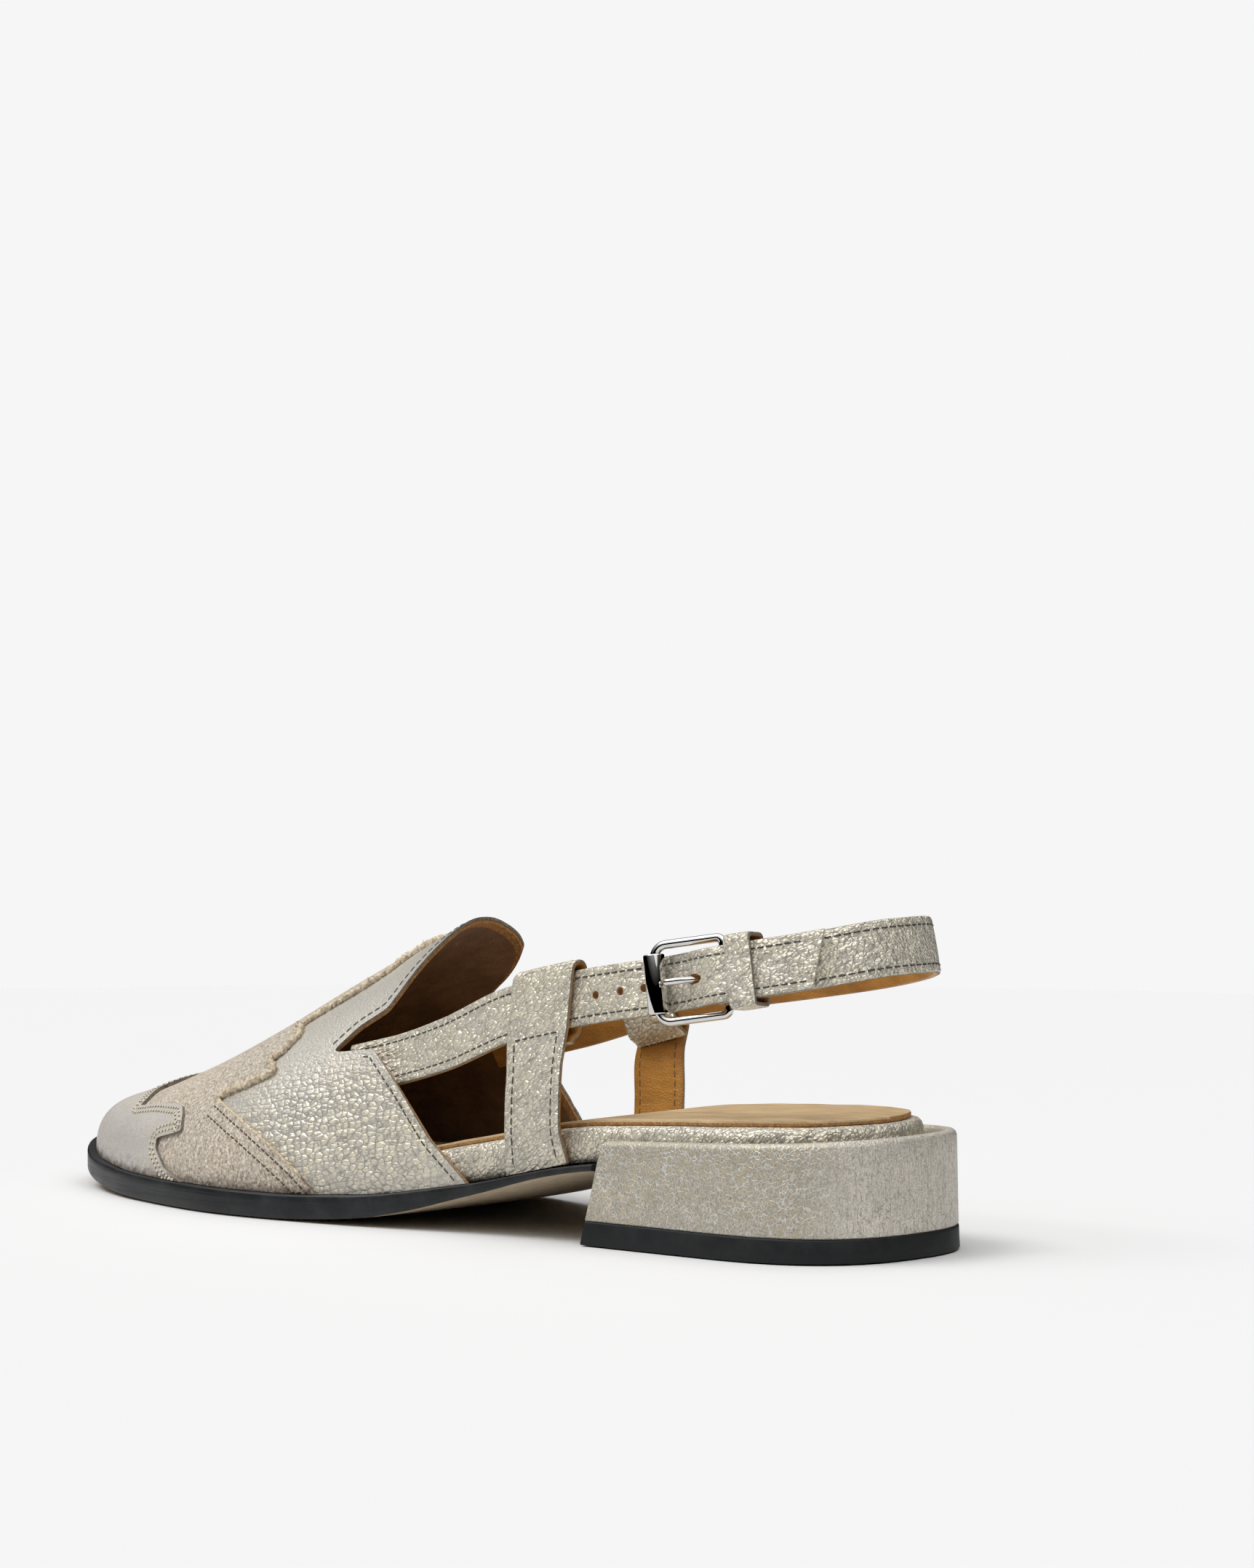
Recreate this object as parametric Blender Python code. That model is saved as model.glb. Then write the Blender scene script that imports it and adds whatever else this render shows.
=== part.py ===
"""Slingback shoe for the left foot: closed almond toe with a loafer tongue, upright side straps, an ankle
strap with a roller buckle on the outer side, and a low covered block heel.

Sizes are millimetres in the shoe's own frame: x runs forward from the back of the heel, y to the outer side,
z up from the floor. Each mesh is moved to the middle of the sole and turned into metres as it is made.
"""

import math

import bmesh
import bpy
import numpy as np

MM = 0.001
GAP = 0.3

# The last: the form that the upper is pulled over. Its outline is also the edge of the insole.
LAST_OUTLINE = (
    # x, centre_y, half_width
    (5.4, 0.0, 0.0),
    (20.0, 0.0, 23.3),
    (50.0, 0.3, 28.6),
    (95.0, 3.0, 27.3),
    (145.0, 2.0, 33.9),
    (180.0, -0.5, 39.0),
    (215.0, -2.5, 33.2),
    (242.0, -3.6, 21.0),
    (255.8, -4.3, 0.0),
)
FEATHER_LINE = (
    # x, z of the insole's underside
    (0.0, 22.8),
    (70.0, 18.8),
    (110.0, 11.3),
    (140.0, 7.1),
    (165.0, 6.1),
    (205.0, 6.1),
    (240.0, 7.3),
    (264.0, 11.3),
)
UPPER_SECTIONS = (
    # x, ridge_y, ridge_height over the feather line, squareness of the section
    (95.0, -6.0, 80.0, 2.0),
    (138.5, -6.0, 61.2, 2.0),
    (163.0, -5.0, 49.2, 2.0),
    (188.0, -4.5, 35.5, 2.1),
    (208.0, -4.3, 26.0, 2.2),
    (228.0, -4.2, 17.7, 2.3),
    (242.0, -4.2, 12.4, 2.3),
    (250.0, -4.3, 8.4, 2.3),
    (255.8, -4.3, 0.0, 2.4),
)
TOE_TIP = LAST_OUTLINE[-1][0]
TOE_START = 225.0
TOE_CLOSING = 3.0
HEEL_END = LAST_OUTLINE[0][0]

# The upper's wall and the two overlays, as distances out from the last. The toe cap lies on the suede.
WALL = 1.4
SUEDE_FACES = (WALL + 0.4, WALL + 1.1)
CAP_FACES = (SUEDE_FACES[1] + 0.4, SUEDE_FACES[1] + 1.3)
REAR_EDGE = (
    # angle up the section in degrees, x, columns up to the next row
    (0.0, 108.5, 2),
    (9.0, 119.4, 2),
    (22.0, 130.9, 2),
    (33.5, 141.8, 1),
    (36.0, 153.5, 1),
    (37.2, 155.0, 1),
    (43.0, 149.3, 1),
    (44.5, 142.8, 1),
    (49.0, 141.3, 1),
    (57.0, 139.9, 1),
    (65.0, 138.4, 1),
    (76.0, 137.2, 2),
    (90.0, 138.2, 2),
    (103.0, 138.4, 1),
    (113.0, 137.9, 1),
    (118.0, 138.4, 1),
    (122.0, 141.8, 1),
    (125.0, 146.3, 1),
    (126.8, 152.3, 1),
    (136.0, 158.0, 1),
    (142.0, 161.0, 1),
    (146.5, 148.0, 2),
    (158.0, 138.0, 2),
    (171.0, 127.5, 2),
    (180.0, 121.0, 0),
)
# Rear edges of the overlays on the outer half; the inner half mirrors them.
CAP_EDGE = (
    # angle, x, columns up to the next row
    (0.0, 196.0, 1),
    (4.0, 203.6, 1),
    (8.0, 206.1, 1),
    (12.0, 208.6, 1),
    (17.2, 209.1, 1),
    (19.0, 198.6, 1),
    (27.0, 200.6, 1),
    (32.0, 203.1, 1),
    (37.5, 216.1, 1),
    (40.0, 227.0, 1),
    (48.0, 227.5, 1),
    (63.0, 231.0, 1),
    (76.0, 228.5, 1),
    (90.0, 227.0, 1),
)
SUEDE_EDGE = (
    # angle, x, columns up to the next row
    (0.0, 150.8, 1),
    (7.0, 159.0, 2),
    (16.0, 170.7, 1),
    (23.0, 179.7, 2),
    (31.0, 189.2, 1),
    (33.0, 189.7, 1),
    (34.5, 181.0, 1),
    (35.8, 172.0, 1),
    (42.0, 176.0, 1),
    (45.0, 173.0, 1),
    (50.0, 171.2, 2),
    (57.0, 174.7, 1),
    (60.0, 168.0, 1),
    (62.0, 160.0, 1),
    (66.0, 153.0, 2),
    (78.0, 149.5, 2),
    (90.0, 148.5, 2),
)
SUEDE_FRONT = 238.0
UPPER_ROWS = 22
CAP_ROWS = 8
SUEDE_ROWS = 10

# The sole and the heel.
LEDGE = (
    # x, how far the outsole reaches past the last
    (60.0, 2.7),
    (110.0, 2.8),
    (150.0, 4.4),
    (220.0, 4.5),
    (255.8, 6.2),
)
SOLE_SECTIONS = (
    # x, edge_thickness, middle_thickness
    (60.0, 1.5, 3.4),
    (85.0, 1.7, 3.8),
    (105.0, 2.7, 4.6),
    (125.0, 4.6, 5.3),
    (145.0, 5.6, 5.8),
    (165.0, 5.8, 5.8),
    (220.0, 5.8, 5.8),
    (264.0, 4.0, 5.8),
)
SOLE_ACROSS = (1.0, 0.85, 0.6, 0.3, 0.0, -0.3, -0.6, -0.85, -1.0)
SOLE_BACK = 69.8
SOLE_ROUNDNESS = 2.5
SOLE_ROWS = 30
BOARD_ROWS = 34
SOCK_FRONT = 222.0
HEEL_HALF_WIDTH = 32.3
HEEL_SQUARENESS = 2.57
HEEL_BEND = 37.0
HEEL_SIDE_SHARE = 0.16
HEEL_FRONT_LOW = 73.2
HEEL_FRONT_HIGH = 67.2
HEEL_RIM_BACK = 27.6
HEEL_RIM_FRONT = 24.1
TOP_PIECE = 5.6
INSOLE_SECTIONS = (
    # x, thickness, inset from the last
    (0.0, 7.5, 0.3),
    (60.0, 8.1, 0.3),
    (105.0, 9.0, 0.3),
    (130.0, 8.0, 1.0),
    (165.0, 4.5, 1.2),
    (200.0, 3.0, 1.2),
    (240.0, 3.0, 1.6),
    (264.0, 2.5, 3.0),
)
SOCK_THICKNESS = 1.2

# The ankle strap. Its middle line runs from under the outer quarter, round the heel, to the inner quarter.
BAND_ROUTE = (
    # x, y, z, lean of the top edge towards the ankle in degrees
    (150.0, 27.8, 34.8, 26.5),
    (137.0, 26.9, 37.7, 23.5),
    (119.0, 28.2, 42.8, 14.0),
    (97.0, 29.0, 51.2, 7.0),
    (78.0, 29.0, 55.6, 5.0),
    (54.5, 28.1, 59.7, 5.0),
    (30.0, 24.6, 64.2, 6.0),
    (15.0, 19.2, 67.0, 8.0),
    (7.1, 13.0, 68.9, 10.0),
    (3.7, 7.0, 69.8, 11.0),
    (2.4, 0.0, 70.0, 11.0),
    (3.7, -7.0, 69.8, 11.0),
    (7.1, -13.0, 68.9, 10.0),
    (15.0, -19.2, 67.0, 8.0),
    (30.0, -24.6, 64.0, 6.0),
    (54.5, -27.4, 60.0, 5.0),
    (80.0, -27.4, 56.0, 6.0),
    (103.0, -27.4, 51.0, 8.0),
    (125.0, -27.4, 44.8, 12.0),
    (145.0, -26.6, 40.0, 15.5),
    (156.0, -27.5, 37.4, 19.5),
)
BAND_HALF_WIDTH = 6.4
BAND_HALF_THICKNESS = 0.95
STRAP_TIP = 13.6
STRAP_TIP_SLANT = 0.35
STRAP_TIP_SHARPNESS = 30
STRAP_LIFT = (
    # x, how far the front strap lies out from the middle line
    (0.0, 2.2),
    (31.0, 2.2),
    (36.2, 2.35),
    (40.8, 1.2),
    (45.3, -0.6),
    (52.0, -1.35),
    (58.0, -0.7),
    (65.0, 0.0),
    (150.0, 0.0),
)
STRAP_HOLES = (70.5, 63.3, 57.1)
STRAP_HOLE_RADIUS = 0.95
HOLE_SIDES = 14
STRAP_STEPS = 40
CURVE_STEPS = 24
SLING_STEPS = 38
FOLD_STEPS = 22

# The buckle. Its hinge bar lies inside the sling's folded end and its roller over the front strap.
HINGE_X = 36.2
HINGE_OUT = -1.95
ROLLER_X = 52.0
ROLLER_OUT = 2.3
ROLLER_RADIUS = 2.4
ROLLER_BORE = 1.6
ROLLER_HALF_LENGTH = 6.8
ROLLER_SIDES = 24
FRAME_HALF_HEIGHT = 8.75
FRAME_FRONT_CORNER = 3.2
FRAME_REAR_CORNER = 1.4
WIRE_RADIUS = 1.0
SLING_FOLD = (
    # distance back from the hinge, distance out from the middle line, half thickness
    (14.0, -1.7, 0.45),
    (5.4, -1.7, 0.45),
    (3.5, -2.0, 0.45),
    (1.7, -3.45, 0.5),
    (0.0, -3.9, 0.6),
    (-1.38, -3.33, 0.65),
    (-1.95, -1.95, 0.65),
    (-1.38, -0.57, 0.65),
    (0.0, 0.0, 0.65),
    (4.0, 0.0, 0.85),
    (8.0, 0.0, 0.95),
)
PRONG_PATH = (
    # distance forward from the hinge, distance out from the middle line, radius
    (-1.95, -1.3, 0.8),
    (-1.5, -0.5, 0.8),
    (0.0, 0.1, 0.8),
    (1.6, -0.1, 0.8),
    (3.4, -1.1, 0.8),
    (5.0, -0.8, 0.8),
    (6.6, 0.9, 0.8),
    (8.4, 2.8, 0.8),
    (10.4, 3.75, 0.8),
    (11.8, 4.05, 0.78),
    (12.8, 4.1, 0.7),
)
PRONG_STEPS = 30
WIRE_SIDES = 10
FOLD_BACK = 14.0
PRONG_SLOT = (-4.0, 3.4)
PRONG_SLOT_HALF = 1.3
PRONG_SLOT_DEPTH = (-6.5, 1.7)
PRONG_HOLE_FORWARD = 6.4
PRONG_HOLE_HALF = 1.3
PRONG_HOLE_RADIUS = 1.2
CUT_REACH = 5.0
KEEPER_X = 29.6
KEEPER_HALF_LENGTH = 3.1
KEEPER_THICKNESS = 1.1
KEEPER_SPAN = (-2.5, 3.45)
KEEPER_ROUND = 0.5
KEEPER_SLACK = 1.0

# The upright side straps: up from the feather line, over the ankle strap and back down inside it.
T_HALF_THICKNESS = 0.7
T_TAIL_STEPS = 10
T_FOOT = 7.0
T_WIDENING = 8.0
T_LATERAL_X = 86.2
T_LATERAL_LEAN = 0.27
T_LATERAL_HALF_WIDTHS = (9.7, 8.6, 9.5)
T_LATERAL_TAIL = ((87.4, 30.9, 16.3), (87.5, 32.4, 24.0), (87.1, 32.9, 31.0), (86.9, 32.6, 38.0))
T_MEDIAL_X = 104.4
T_MEDIAL_LEAN = 0.0
T_MEDIAL_HALF_WIDTHS = (7.9, 7.9, 7.9)
T_MEDIAL_TAIL = ((100.9, -25.5, 13.4), (101.6, -27.0, 20.6), (102.5, -28.4, 28.8), (103.5, -29.5, 37.0))
T_LOOP = (
    # distance out from the ankle strap's middle line, distance up it
    (2.1, -6.8),
    (2.1, 0.0),
    (2.1, 5.9),
    (1.8, 7.1),
    (1.05, 7.85),
    (0.0, 8.1),
    (-1.05, 7.85),
    (-1.8, 7.1),
    (-2.1, 5.9),
    (-2.1, 0.0),
    (-2.1, -6.4),
    (-1.5, -7.8),
    (-0.4, -8.9),
    (0.1, -9.9),
)


def column(rows, index, x):
    """One column of a table at x, on a smooth curve that never overshoots its rows."""
    xs = np.array([row[0] for row in rows], float)
    ys = np.array([row[index] for row in rows], float)
    steps = np.diff(xs)
    slopes = np.diff(ys) / steps
    before, after = slopes[:-1], slopes[1:]
    weights = (2 * steps[1:] + steps[:-1], steps[1:] + 2 * steps[:-1])
    rising = before * after > 0
    safe = np.where(rising, before, 1.0), np.where(rising, after, 1.0)
    inner = sum(weights) / (weights[0] / safe[0] + weights[1] / safe[1])
    tangents = np.concatenate([[slopes[0]], np.where(rising, inner, 0.0), [slopes[-1]]])
    x = np.clip(x, xs[0], xs[-1])
    k = int(np.clip(np.searchsorted(xs, x) - 1, 0, len(steps) - 1))
    t = (x - xs[k]) / steps[k]
    return float(
        ys[k] * (1 + 2 * t) * (1 - t) ** 2
        + ys[k + 1] * t**2 * (3 - 2 * t)
        + steps[k] * t * (1 - t) * (tangents[k] * (1 - t) - tangents[k + 1] * t)
    )


def squared(rows, index):
    """The table with one column squared, so that a form drawn from its root ends round."""
    return [tuple(v * v if i == index else v for i, v in enumerate(row)) for row in rows]


OUTLINE_SQUARED = squared(LAST_OUTLINE, 2)
SECTIONS_SQUARED = squared(UPPER_SECTIONS, 2)


def half_width(x):
    return math.sqrt(max(column(OUTLINE_SQUARED, 2, x), 0.0))


def feather(x):
    return column(FEATHER_LINE, 1, x)


def outline_x(share):
    """x along the last for a share of 0 at the heel and 1 at the toe, closer together at both ends."""
    return HEEL_END + (TOE_TIP - HEEL_END) * (1 - math.cos(math.pi * share)) / 2


def outline_share(x):
    return math.acos(1 - 2 * (x - HEEL_END) / (TOE_TIP - HEEL_END)) / math.pi


def outline_point(share, side, grow):
    """(x, y) on the last's outline, moved out by grow. side is 1 on the outer and -1 on the inner edge."""
    if share <= 0.0:
        return HEEL_END - grow, LAST_OUTLINE[0][1]
    if share >= 1.0:
        return TOE_TIP + grow, LAST_OUTLINE[-1][1]
    step = 0.002
    ends = []
    for s in (max(share - step, 0.0), share, min(share + step, 1.0)):
        x = outline_x(s)
        ends.append((x, column(LAST_OUTLINE, 1, x) + side * half_width(x)))
    along = np.subtract(ends[2], ends[0])
    along /= np.linalg.norm(along)
    return ends[1][0] - side * along[1] * grow, ends[1][1] + side * along[0] * grow


def upper_point(x, angle, grow):
    """A point of the upper, grow out from the last. angle runs from 0 at the outer feather edge over the
    ridge at 90 degrees to 180 at the inner feather edge."""
    reach = max(0.0, (x - TOE_START) / (TOE_TIP + grow - TOE_START))
    x_last = x - grow * reach * reach
    power = 2 / column(UPPER_SECTIONS, 3, x_last)
    wide = half_width(x_last) + grow
    high = math.sqrt(max(column(SECTIONS_SQUARED, 2, x_last), 0.0)) + grow
    closing = min(1.0, math.sqrt(max(TOE_TIP - x_last, 0.0) / TOE_CLOSING))
    wide -= grow * (1 - closing)
    high -= grow * (1 - closing)
    across, up = math.cos(math.radians(angle)), math.sin(math.radians(angle))
    middle = column(LAST_OUTLINE, 1, x_last)
    lean = (column(UPPER_SECTIONS, 1, x_last) - middle) * up * up
    y = middle + lean + wide * math.copysign(abs(across) ** power, across)
    return x, y, feather(x) + high * abs(up) ** power


def edge_x(angle, rows):
    return float(np.interp(angle, [row[0] for row in rows], [row[1] for row in rows]))


def mirrored(rows):
    """A table of the outer half, angles 0 to 90, with its mirror image for the inner half added."""
    back = [(180 - rows[k][0], rows[k][1], rows[k - 1][2] if k else 0) for k in range(len(rows) - 2, -1, -1)]
    return list(rows) + back


def angle_at(b, rows):
    """The angle at share b across a patch whose rows say how many columns lie up to the next one."""
    counts = np.cumsum([0] + [row[2] for row in rows[:-1]])
    return float(np.interp(b * counts[-1], counts, [row[0] for row in rows]))


def columns_of(rows):
    return sum(row[2] for row in rows)


BALL_SHARES = np.linspace(0.4, 0.9, 200)
OUTER_REACH = max(outline_point(s, 1, column(LEDGE, 1, outline_x(s)))[1] for s in BALL_SHARES)
INNER_REACH = min(outline_point(s, -1, column(LEDGE, 1, outline_x(s)))[1] for s in BALL_SHARES)
SHOE_LENGTH = outline_point(1.0, 1, column(LEDGE, 1, TOE_TIP))[0]
MIDDLE = (SHOE_LENGTH / 2, (OUTER_REACH + INNER_REACH) / 2, 0.0)


def metres(point):
    return [(v - m) * MM for v, m in zip(point, MIDDLE)]


def grid_in(bm, columns, rows, place):
    """A sheet of quads in a mesh being built, shaped by place(a, b) with shares along and across."""
    made = bmesh.ops.create_grid(bm, x_segments=rows, y_segments=columns, size=0.5)
    for vert in made["verts"]:
        a = round((vert.co.x + 0.5) * rows) / rows
        b = round((vert.co.y + 0.5) * columns) / columns
        vert.co = metres(place(a, b))
    bmesh.ops.remove_doubles(bm, verts=made["verts"], dist=1e-7)


def finish_object(name, bm, material):
    bmesh.ops.recalc_face_normals(bm, faces=bm.faces)
    mesh = bpy.data.meshes.new(name)
    bm.to_mesh(mesh)
    bm.free()
    mesh.shade_smooth()
    mesh.set_sharp_from_angle(angle=math.radians(40))
    mesh.materials.append(material)
    obj = bpy.data.objects.new(name, mesh)
    SHOE.objects.link(obj)
    return obj


def tube(name, columns, rows, place, material):
    """A closed skin: place(a, b) goes round each section once as b runs from 0 to 1. Open ends are filled."""
    bm = bmesh.new()
    grid_in(bm, columns, rows, place)
    bmesh.ops.remove_doubles(bm, verts=bm.verts, dist=1e-7)
    bmesh.ops.holes_fill(bm, edges=[e for e in bm.edges if e.is_boundary], sides=0)
    return finish_object(name, bm, material)


def shell(name, columns, rows, place, faces, material):
    """A wall between two sheets of the same pattern, place(a, b, grow) at the two values in faces."""
    bm = bmesh.new()
    for grow in faces:
        grid_in(bm, columns, rows, lambda a, b: place(a, b, grow))
    bmesh.ops.bridge_loops(bm, edges=[e for e in bm.edges if e.is_boundary])
    return finish_object(name, bm, material)


def plain_material(name, colour, roughness, metallic=0.0):
    material = bpy.data.materials.new(name)
    material.use_nodes = True
    shader = material.node_tree.nodes["Principled BSDF"]
    shader.inputs["Base Color"].default_value = (*colour, 1.0)
    shader.inputs["Roughness"].default_value = roughness
    shader.inputs["Metallic"].default_value = metallic
    return material


def make_upper():
    def place(a, b, grow):
        angle = angle_at(b, REAR_EDGE)
        tip = TOE_TIP + grow
        share = 1 - math.cos(a * math.pi / 2)
        return upper_point(tip - (tip - edge_x(angle, REAR_EDGE)) * share, angle, grow)

    return shell("upper", columns_of(REAR_EDGE), UPPER_ROWS, place, (0.0, WALL), LEATHER)


def make_toe_cap():
    rows = mirrored(CAP_EDGE)

    def place(a, b, grow):
        angle = angle_at(b, rows)
        tip = TOE_TIP + grow
        share = 1 - math.cos(a * math.pi / 2)
        return upper_point(tip - (tip - edge_x(angle, rows)) * share, angle, grow)

    return shell("toe_cap", columns_of(rows), CAP_ROWS, place, CAP_FACES, LEATHER)


def make_suede_wing():
    rows = mirrored(SUEDE_EDGE)

    def place(a, b, grow):
        angle = angle_at(b, rows)
        return upper_point(SUEDE_FRONT + (edge_x(angle, rows) - SUEDE_FRONT) * a, angle, grow)

    return shell("suede_wing", columns_of(rows), SUEDE_ROWS, place, SUEDE_FACES, SUEDE)


def make_outsole():
    first = outline_share(SOLE_BACK)
    ring = len(SOLE_ACROSS) + 2

    def place(a, b):
        share = first + (1 - first) * a
        x = outline_x(share)
        ledge = column(LEDGE, 1, x)
        outer, inner = (np.array(outline_point(share, side, ledge)) for side in (1, -1))
        k = round(b * ring) % ring
        if k in (0, 1):
            across, level = (-1.0, 0.0) if k == 0 else (1.0, 0.0)
        else:
            across = SOLE_ACROSS[k - 2]
            edge, middle = column(SOLE_SECTIONS, 1, x), column(SOLE_SECTIONS, 2, x)
            level = -edge - (middle - edge) * (1 - abs(across) ** SOLE_ROUNDNESS)
        x, y = (outer + inner) / 2 + across * (outer - inner) / 2
        return x, y, max(feather(x) - GAP + level, 0.0)

    return tube("outsole", ring, SOLE_ROWS, place, SOLE_BLACK)


def board(name, rows, ring, start, end, height, material):
    """A flat board on the last's outline. ring lists (inset, level) up the outer edge, level 0 to 1."""
    points = [(1, *row) for row in ring] + [(-1, *row) for row in reversed(ring)]
    first, last = outline_share(start), outline_share(end)

    def place(a, b):
        share = first + (last - first) * a
        side, inset, level = points[round(b * len(points)) % len(points)]
        inset += column(INSOLE_SECTIONS, 2, outline_x(share))
        x, y = outline_point(share, side, -inset)
        low, high = height(x)
        return x, y, low + (high - low) * level

    return tube(name, len(points), rows, place, material)


def insole_top(x):
    return feather(x) + column(INSOLE_SECTIONS, 1, x)


INSOLE_RING = ((1.7, 0.0), (0.0, 0.16), (0.0, 0.72), (0.6, 0.92), (2.3, 1.0))
SEAT_RING = ((-GAP, 0.0), (-GAP, 1.6))
SOCK_RING = ((3.2, 0.0), (3.0, 0.6), (3.4, 1.0))


def make_insole():
    def height(x):
        return feather(x), insole_top(x)

    return board("insole", BOARD_ROWS, INSOLE_RING, HEEL_END, TOE_TIP, height, LEATHER)


def make_sock():
    def height(x):
        low = insole_top(x) + GAP
        return low, low + SOCK_THICKNESS

    return board("sock", BOARD_ROWS, SOCK_RING, HEEL_END, SOCK_FRONT, height, TAN)


def heel_loop(share, inset, front):
    """(x, y) round the heel from the outer front corner over the back to the inner front corner."""
    wide = HEEL_HALF_WIDTH - inset
    if share < HEEL_SIDE_SHARE:
        return front + (HEEL_BEND - front) * share / HEEL_SIDE_SHARE, wide
    if share > 1 - HEEL_SIDE_SHARE:
        return front + (HEEL_BEND - front) * (1 - share) / HEEL_SIDE_SHARE, -wide
    turn = math.pi * (share - HEEL_SIDE_SHARE) / (1 - 2 * HEEL_SIDE_SHARE)
    power = 2 / HEEL_SQUARENESS
    across = math.cos(turn)
    x = HEEL_BEND - (HEEL_BEND - inset) * abs(math.sin(turn)) ** power
    return x, wide * math.copysign(abs(across) ** power, across)


def rim_height(x):
    return HEEL_RIM_BACK + (HEEL_RIM_FRONT - HEEL_RIM_BACK) * x / HEEL_FRONT_HIGH


def heel_front(z):
    return HEEL_FRONT_LOW + (HEEL_FRONT_HIGH - HEEL_FRONT_LOW) * z / HEEL_RIM_FRONT


HEEL_LEVELS = (
    # share of the way from the top piece to the rim, extra inset
    (0.0, 0.3),
    (0.5, 0.5),
    (0.93, 0.7),
    (0.985, 1.2),
    (1.0, 2.2),
)
HEEL_COLUMNS = 40


def make_heel():
    def place(a, b):
        share, inset = HEEL_LEVELS[round(a * (len(HEEL_LEVELS) - 1))]
        b = min(b, 1 - 1 / HEEL_COLUMNS) / (1 - 1 / HEEL_COLUMNS) if b < 1 else 0.0
        low = TOP_PIECE + GAP
        front = heel_front(low + share * (HEEL_RIM_FRONT - low))
        x, y = heel_loop(b, inset, front)
        return x, y, low + share * (rim_height(x) - low)

    def seat_height(x):
        return feather(x) - GAP, insole_top(x)

    heel = tube("heel", HEEL_COLUMNS, len(HEEL_LEVELS) - 1, place, LEATHER)
    cut_with(heel, board("heel_seat", BOARD_ROWS, SEAT_RING, HEEL_END, TOE_TIP, seat_height, LEATHER))
    return heel


def cut_with(obj, cutter):
    SHOE.objects.unlink(cutter)
    CUTTERS.objects.link(cutter)
    cutter.hide_render = True
    cutter.display_type = "WIRE"
    cut = obj.modifiers.new("cut", "BOOLEAN")
    cut.operation = "DIFFERENCE"
    cut.solver = "EXACT"
    cut.object = cutter


def make_top_piece():
    levels = ((0.0, 0.5), (0.4, 0.0), (TOP_PIECE - 0.2, 0.2), (TOP_PIECE, 0.4))

    def place(a, b):
        z, inset = levels[round(a * (len(levels) - 1))]
        b = min(b, 1 - 1 / HEEL_COLUMNS) / (1 - 1 / HEEL_COLUMNS) if b < 1 else 0.0
        return *heel_loop(b, inset, heel_front(z)), z

    return tube("top_piece", HEEL_COLUMNS, len(levels) - 1, place, RUBBER)


CORNERS = ((1, 1), (-1, 1), (-1, -1), (1, -1))


def unit(vector):
    return vector / np.linalg.norm(vector)


def route_lengths():
    points = np.array([row[:3] for row in BAND_ROUTE])
    return np.concatenate([[0.0], np.cumsum(np.linalg.norm(np.diff(points, axis=0), axis=1))])


ROUTE = [(length, *row) for length, row in zip(route_lengths(), BAND_ROUTE)]
ROUTE_END = ROUTE[-1][0]
ROUTE_BACK = ROUTE[len(ROUTE) // 2][0]


def route_point(s):
    return np.array([column(ROUTE, k, s) for k in (1, 2, 3)])


def band_frame(s):
    """The ankle strap's middle, its direction, outward and upward at length s along it."""
    inside = min(max(s, 0.5), ROUTE_END - 0.5)
    along = unit(route_point(inside + 0.5) - route_point(inside - 0.5))
    out = unit(np.cross(along, (0.0, 0.0, 1.0)))
    up = np.cross(out, along)
    lean = math.radians(column(ROUTE, 4, s))
    return (
        route_point(s),
        along,
        out * math.cos(lean) + up * math.sin(lean),
        up * math.cos(lean) - out * math.sin(lean),
    )


def band_point(s, out, up):
    middle, _, outward, upward = band_frame(s)
    return middle + outward * out + upward * up


ROUTE_STEPS = 300
LATERAL_LENGTHS = np.linspace(0.0, ROUTE_BACK, ROUTE_STEPS)
LATERAL_X = np.array([column(ROUTE, 1, s) for s in LATERAL_LENGTHS])
MEDIAL_LENGTHS = np.linspace(ROUTE_BACK, ROUTE_END, ROUTE_STEPS)
MEDIAL_X = np.array([column(ROUTE, 1, s) for s in MEDIAL_LENGTHS])


def outer_length(x):
    """Length along the ankle strap at x on the outer side."""
    return float(np.interp(-x, -LATERAL_X, LATERAL_LENGTHS))


def inner_length(x):
    return float(np.interp(x, MEDIAL_X, MEDIAL_LENGTHS))


HINGE = outer_length(HINGE_X)
ROLLER = outer_length(ROLLER_X)
BUCKLE_OUT, BUCKLE_UP = band_frame(HINGE)[2:]


def smooth_path(points, count):
    """Points evenly along a smooth curve through the given rows."""
    points = np.array(points, float)
    ends = np.vstack([2 * points[0] - points[1], points, 2 * points[-1] - points[-2]])
    fine = []
    for p, q, r, t in zip(ends, ends[1:], ends[2:], ends[3:]):
        for k in np.linspace(0, 1, CURVE_STEPS, endpoint=False):
            fine.append(q + 0.5 * k * (r - p + k * (2 * p - 5 * q + 4 * r - t + k * (3 * (q - r) + t - p))))
    fine = np.array(fine + [points[-1]])
    lengths = np.concatenate([[0.0], np.cumsum(np.linalg.norm(np.diff(fine, axis=0), axis=1))])
    picks = np.linspace(0, lengths[-1], count)
    return np.column_stack([np.interp(picks, lengths, fine[:, k]) for k in range(fine.shape[1])])


def ribbon(name, centres, sides, halves, material):
    """A flat strip along centres. sides are half widths as vectors, halves the half thicknesses."""
    centres = np.array(centres)
    along = np.gradient(centres, axis=0)
    last = len(centres) - 1

    def place(a, b):
        k = round(a * last)
        across, through = CORNERS[round(b * 4) % 4]
        normal = unit(np.cross(along[k], sides[k]))
        return centres[k] + across * sides[k] + through * halves[k] * normal

    return tube(name, 4, last, place, material)


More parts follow.
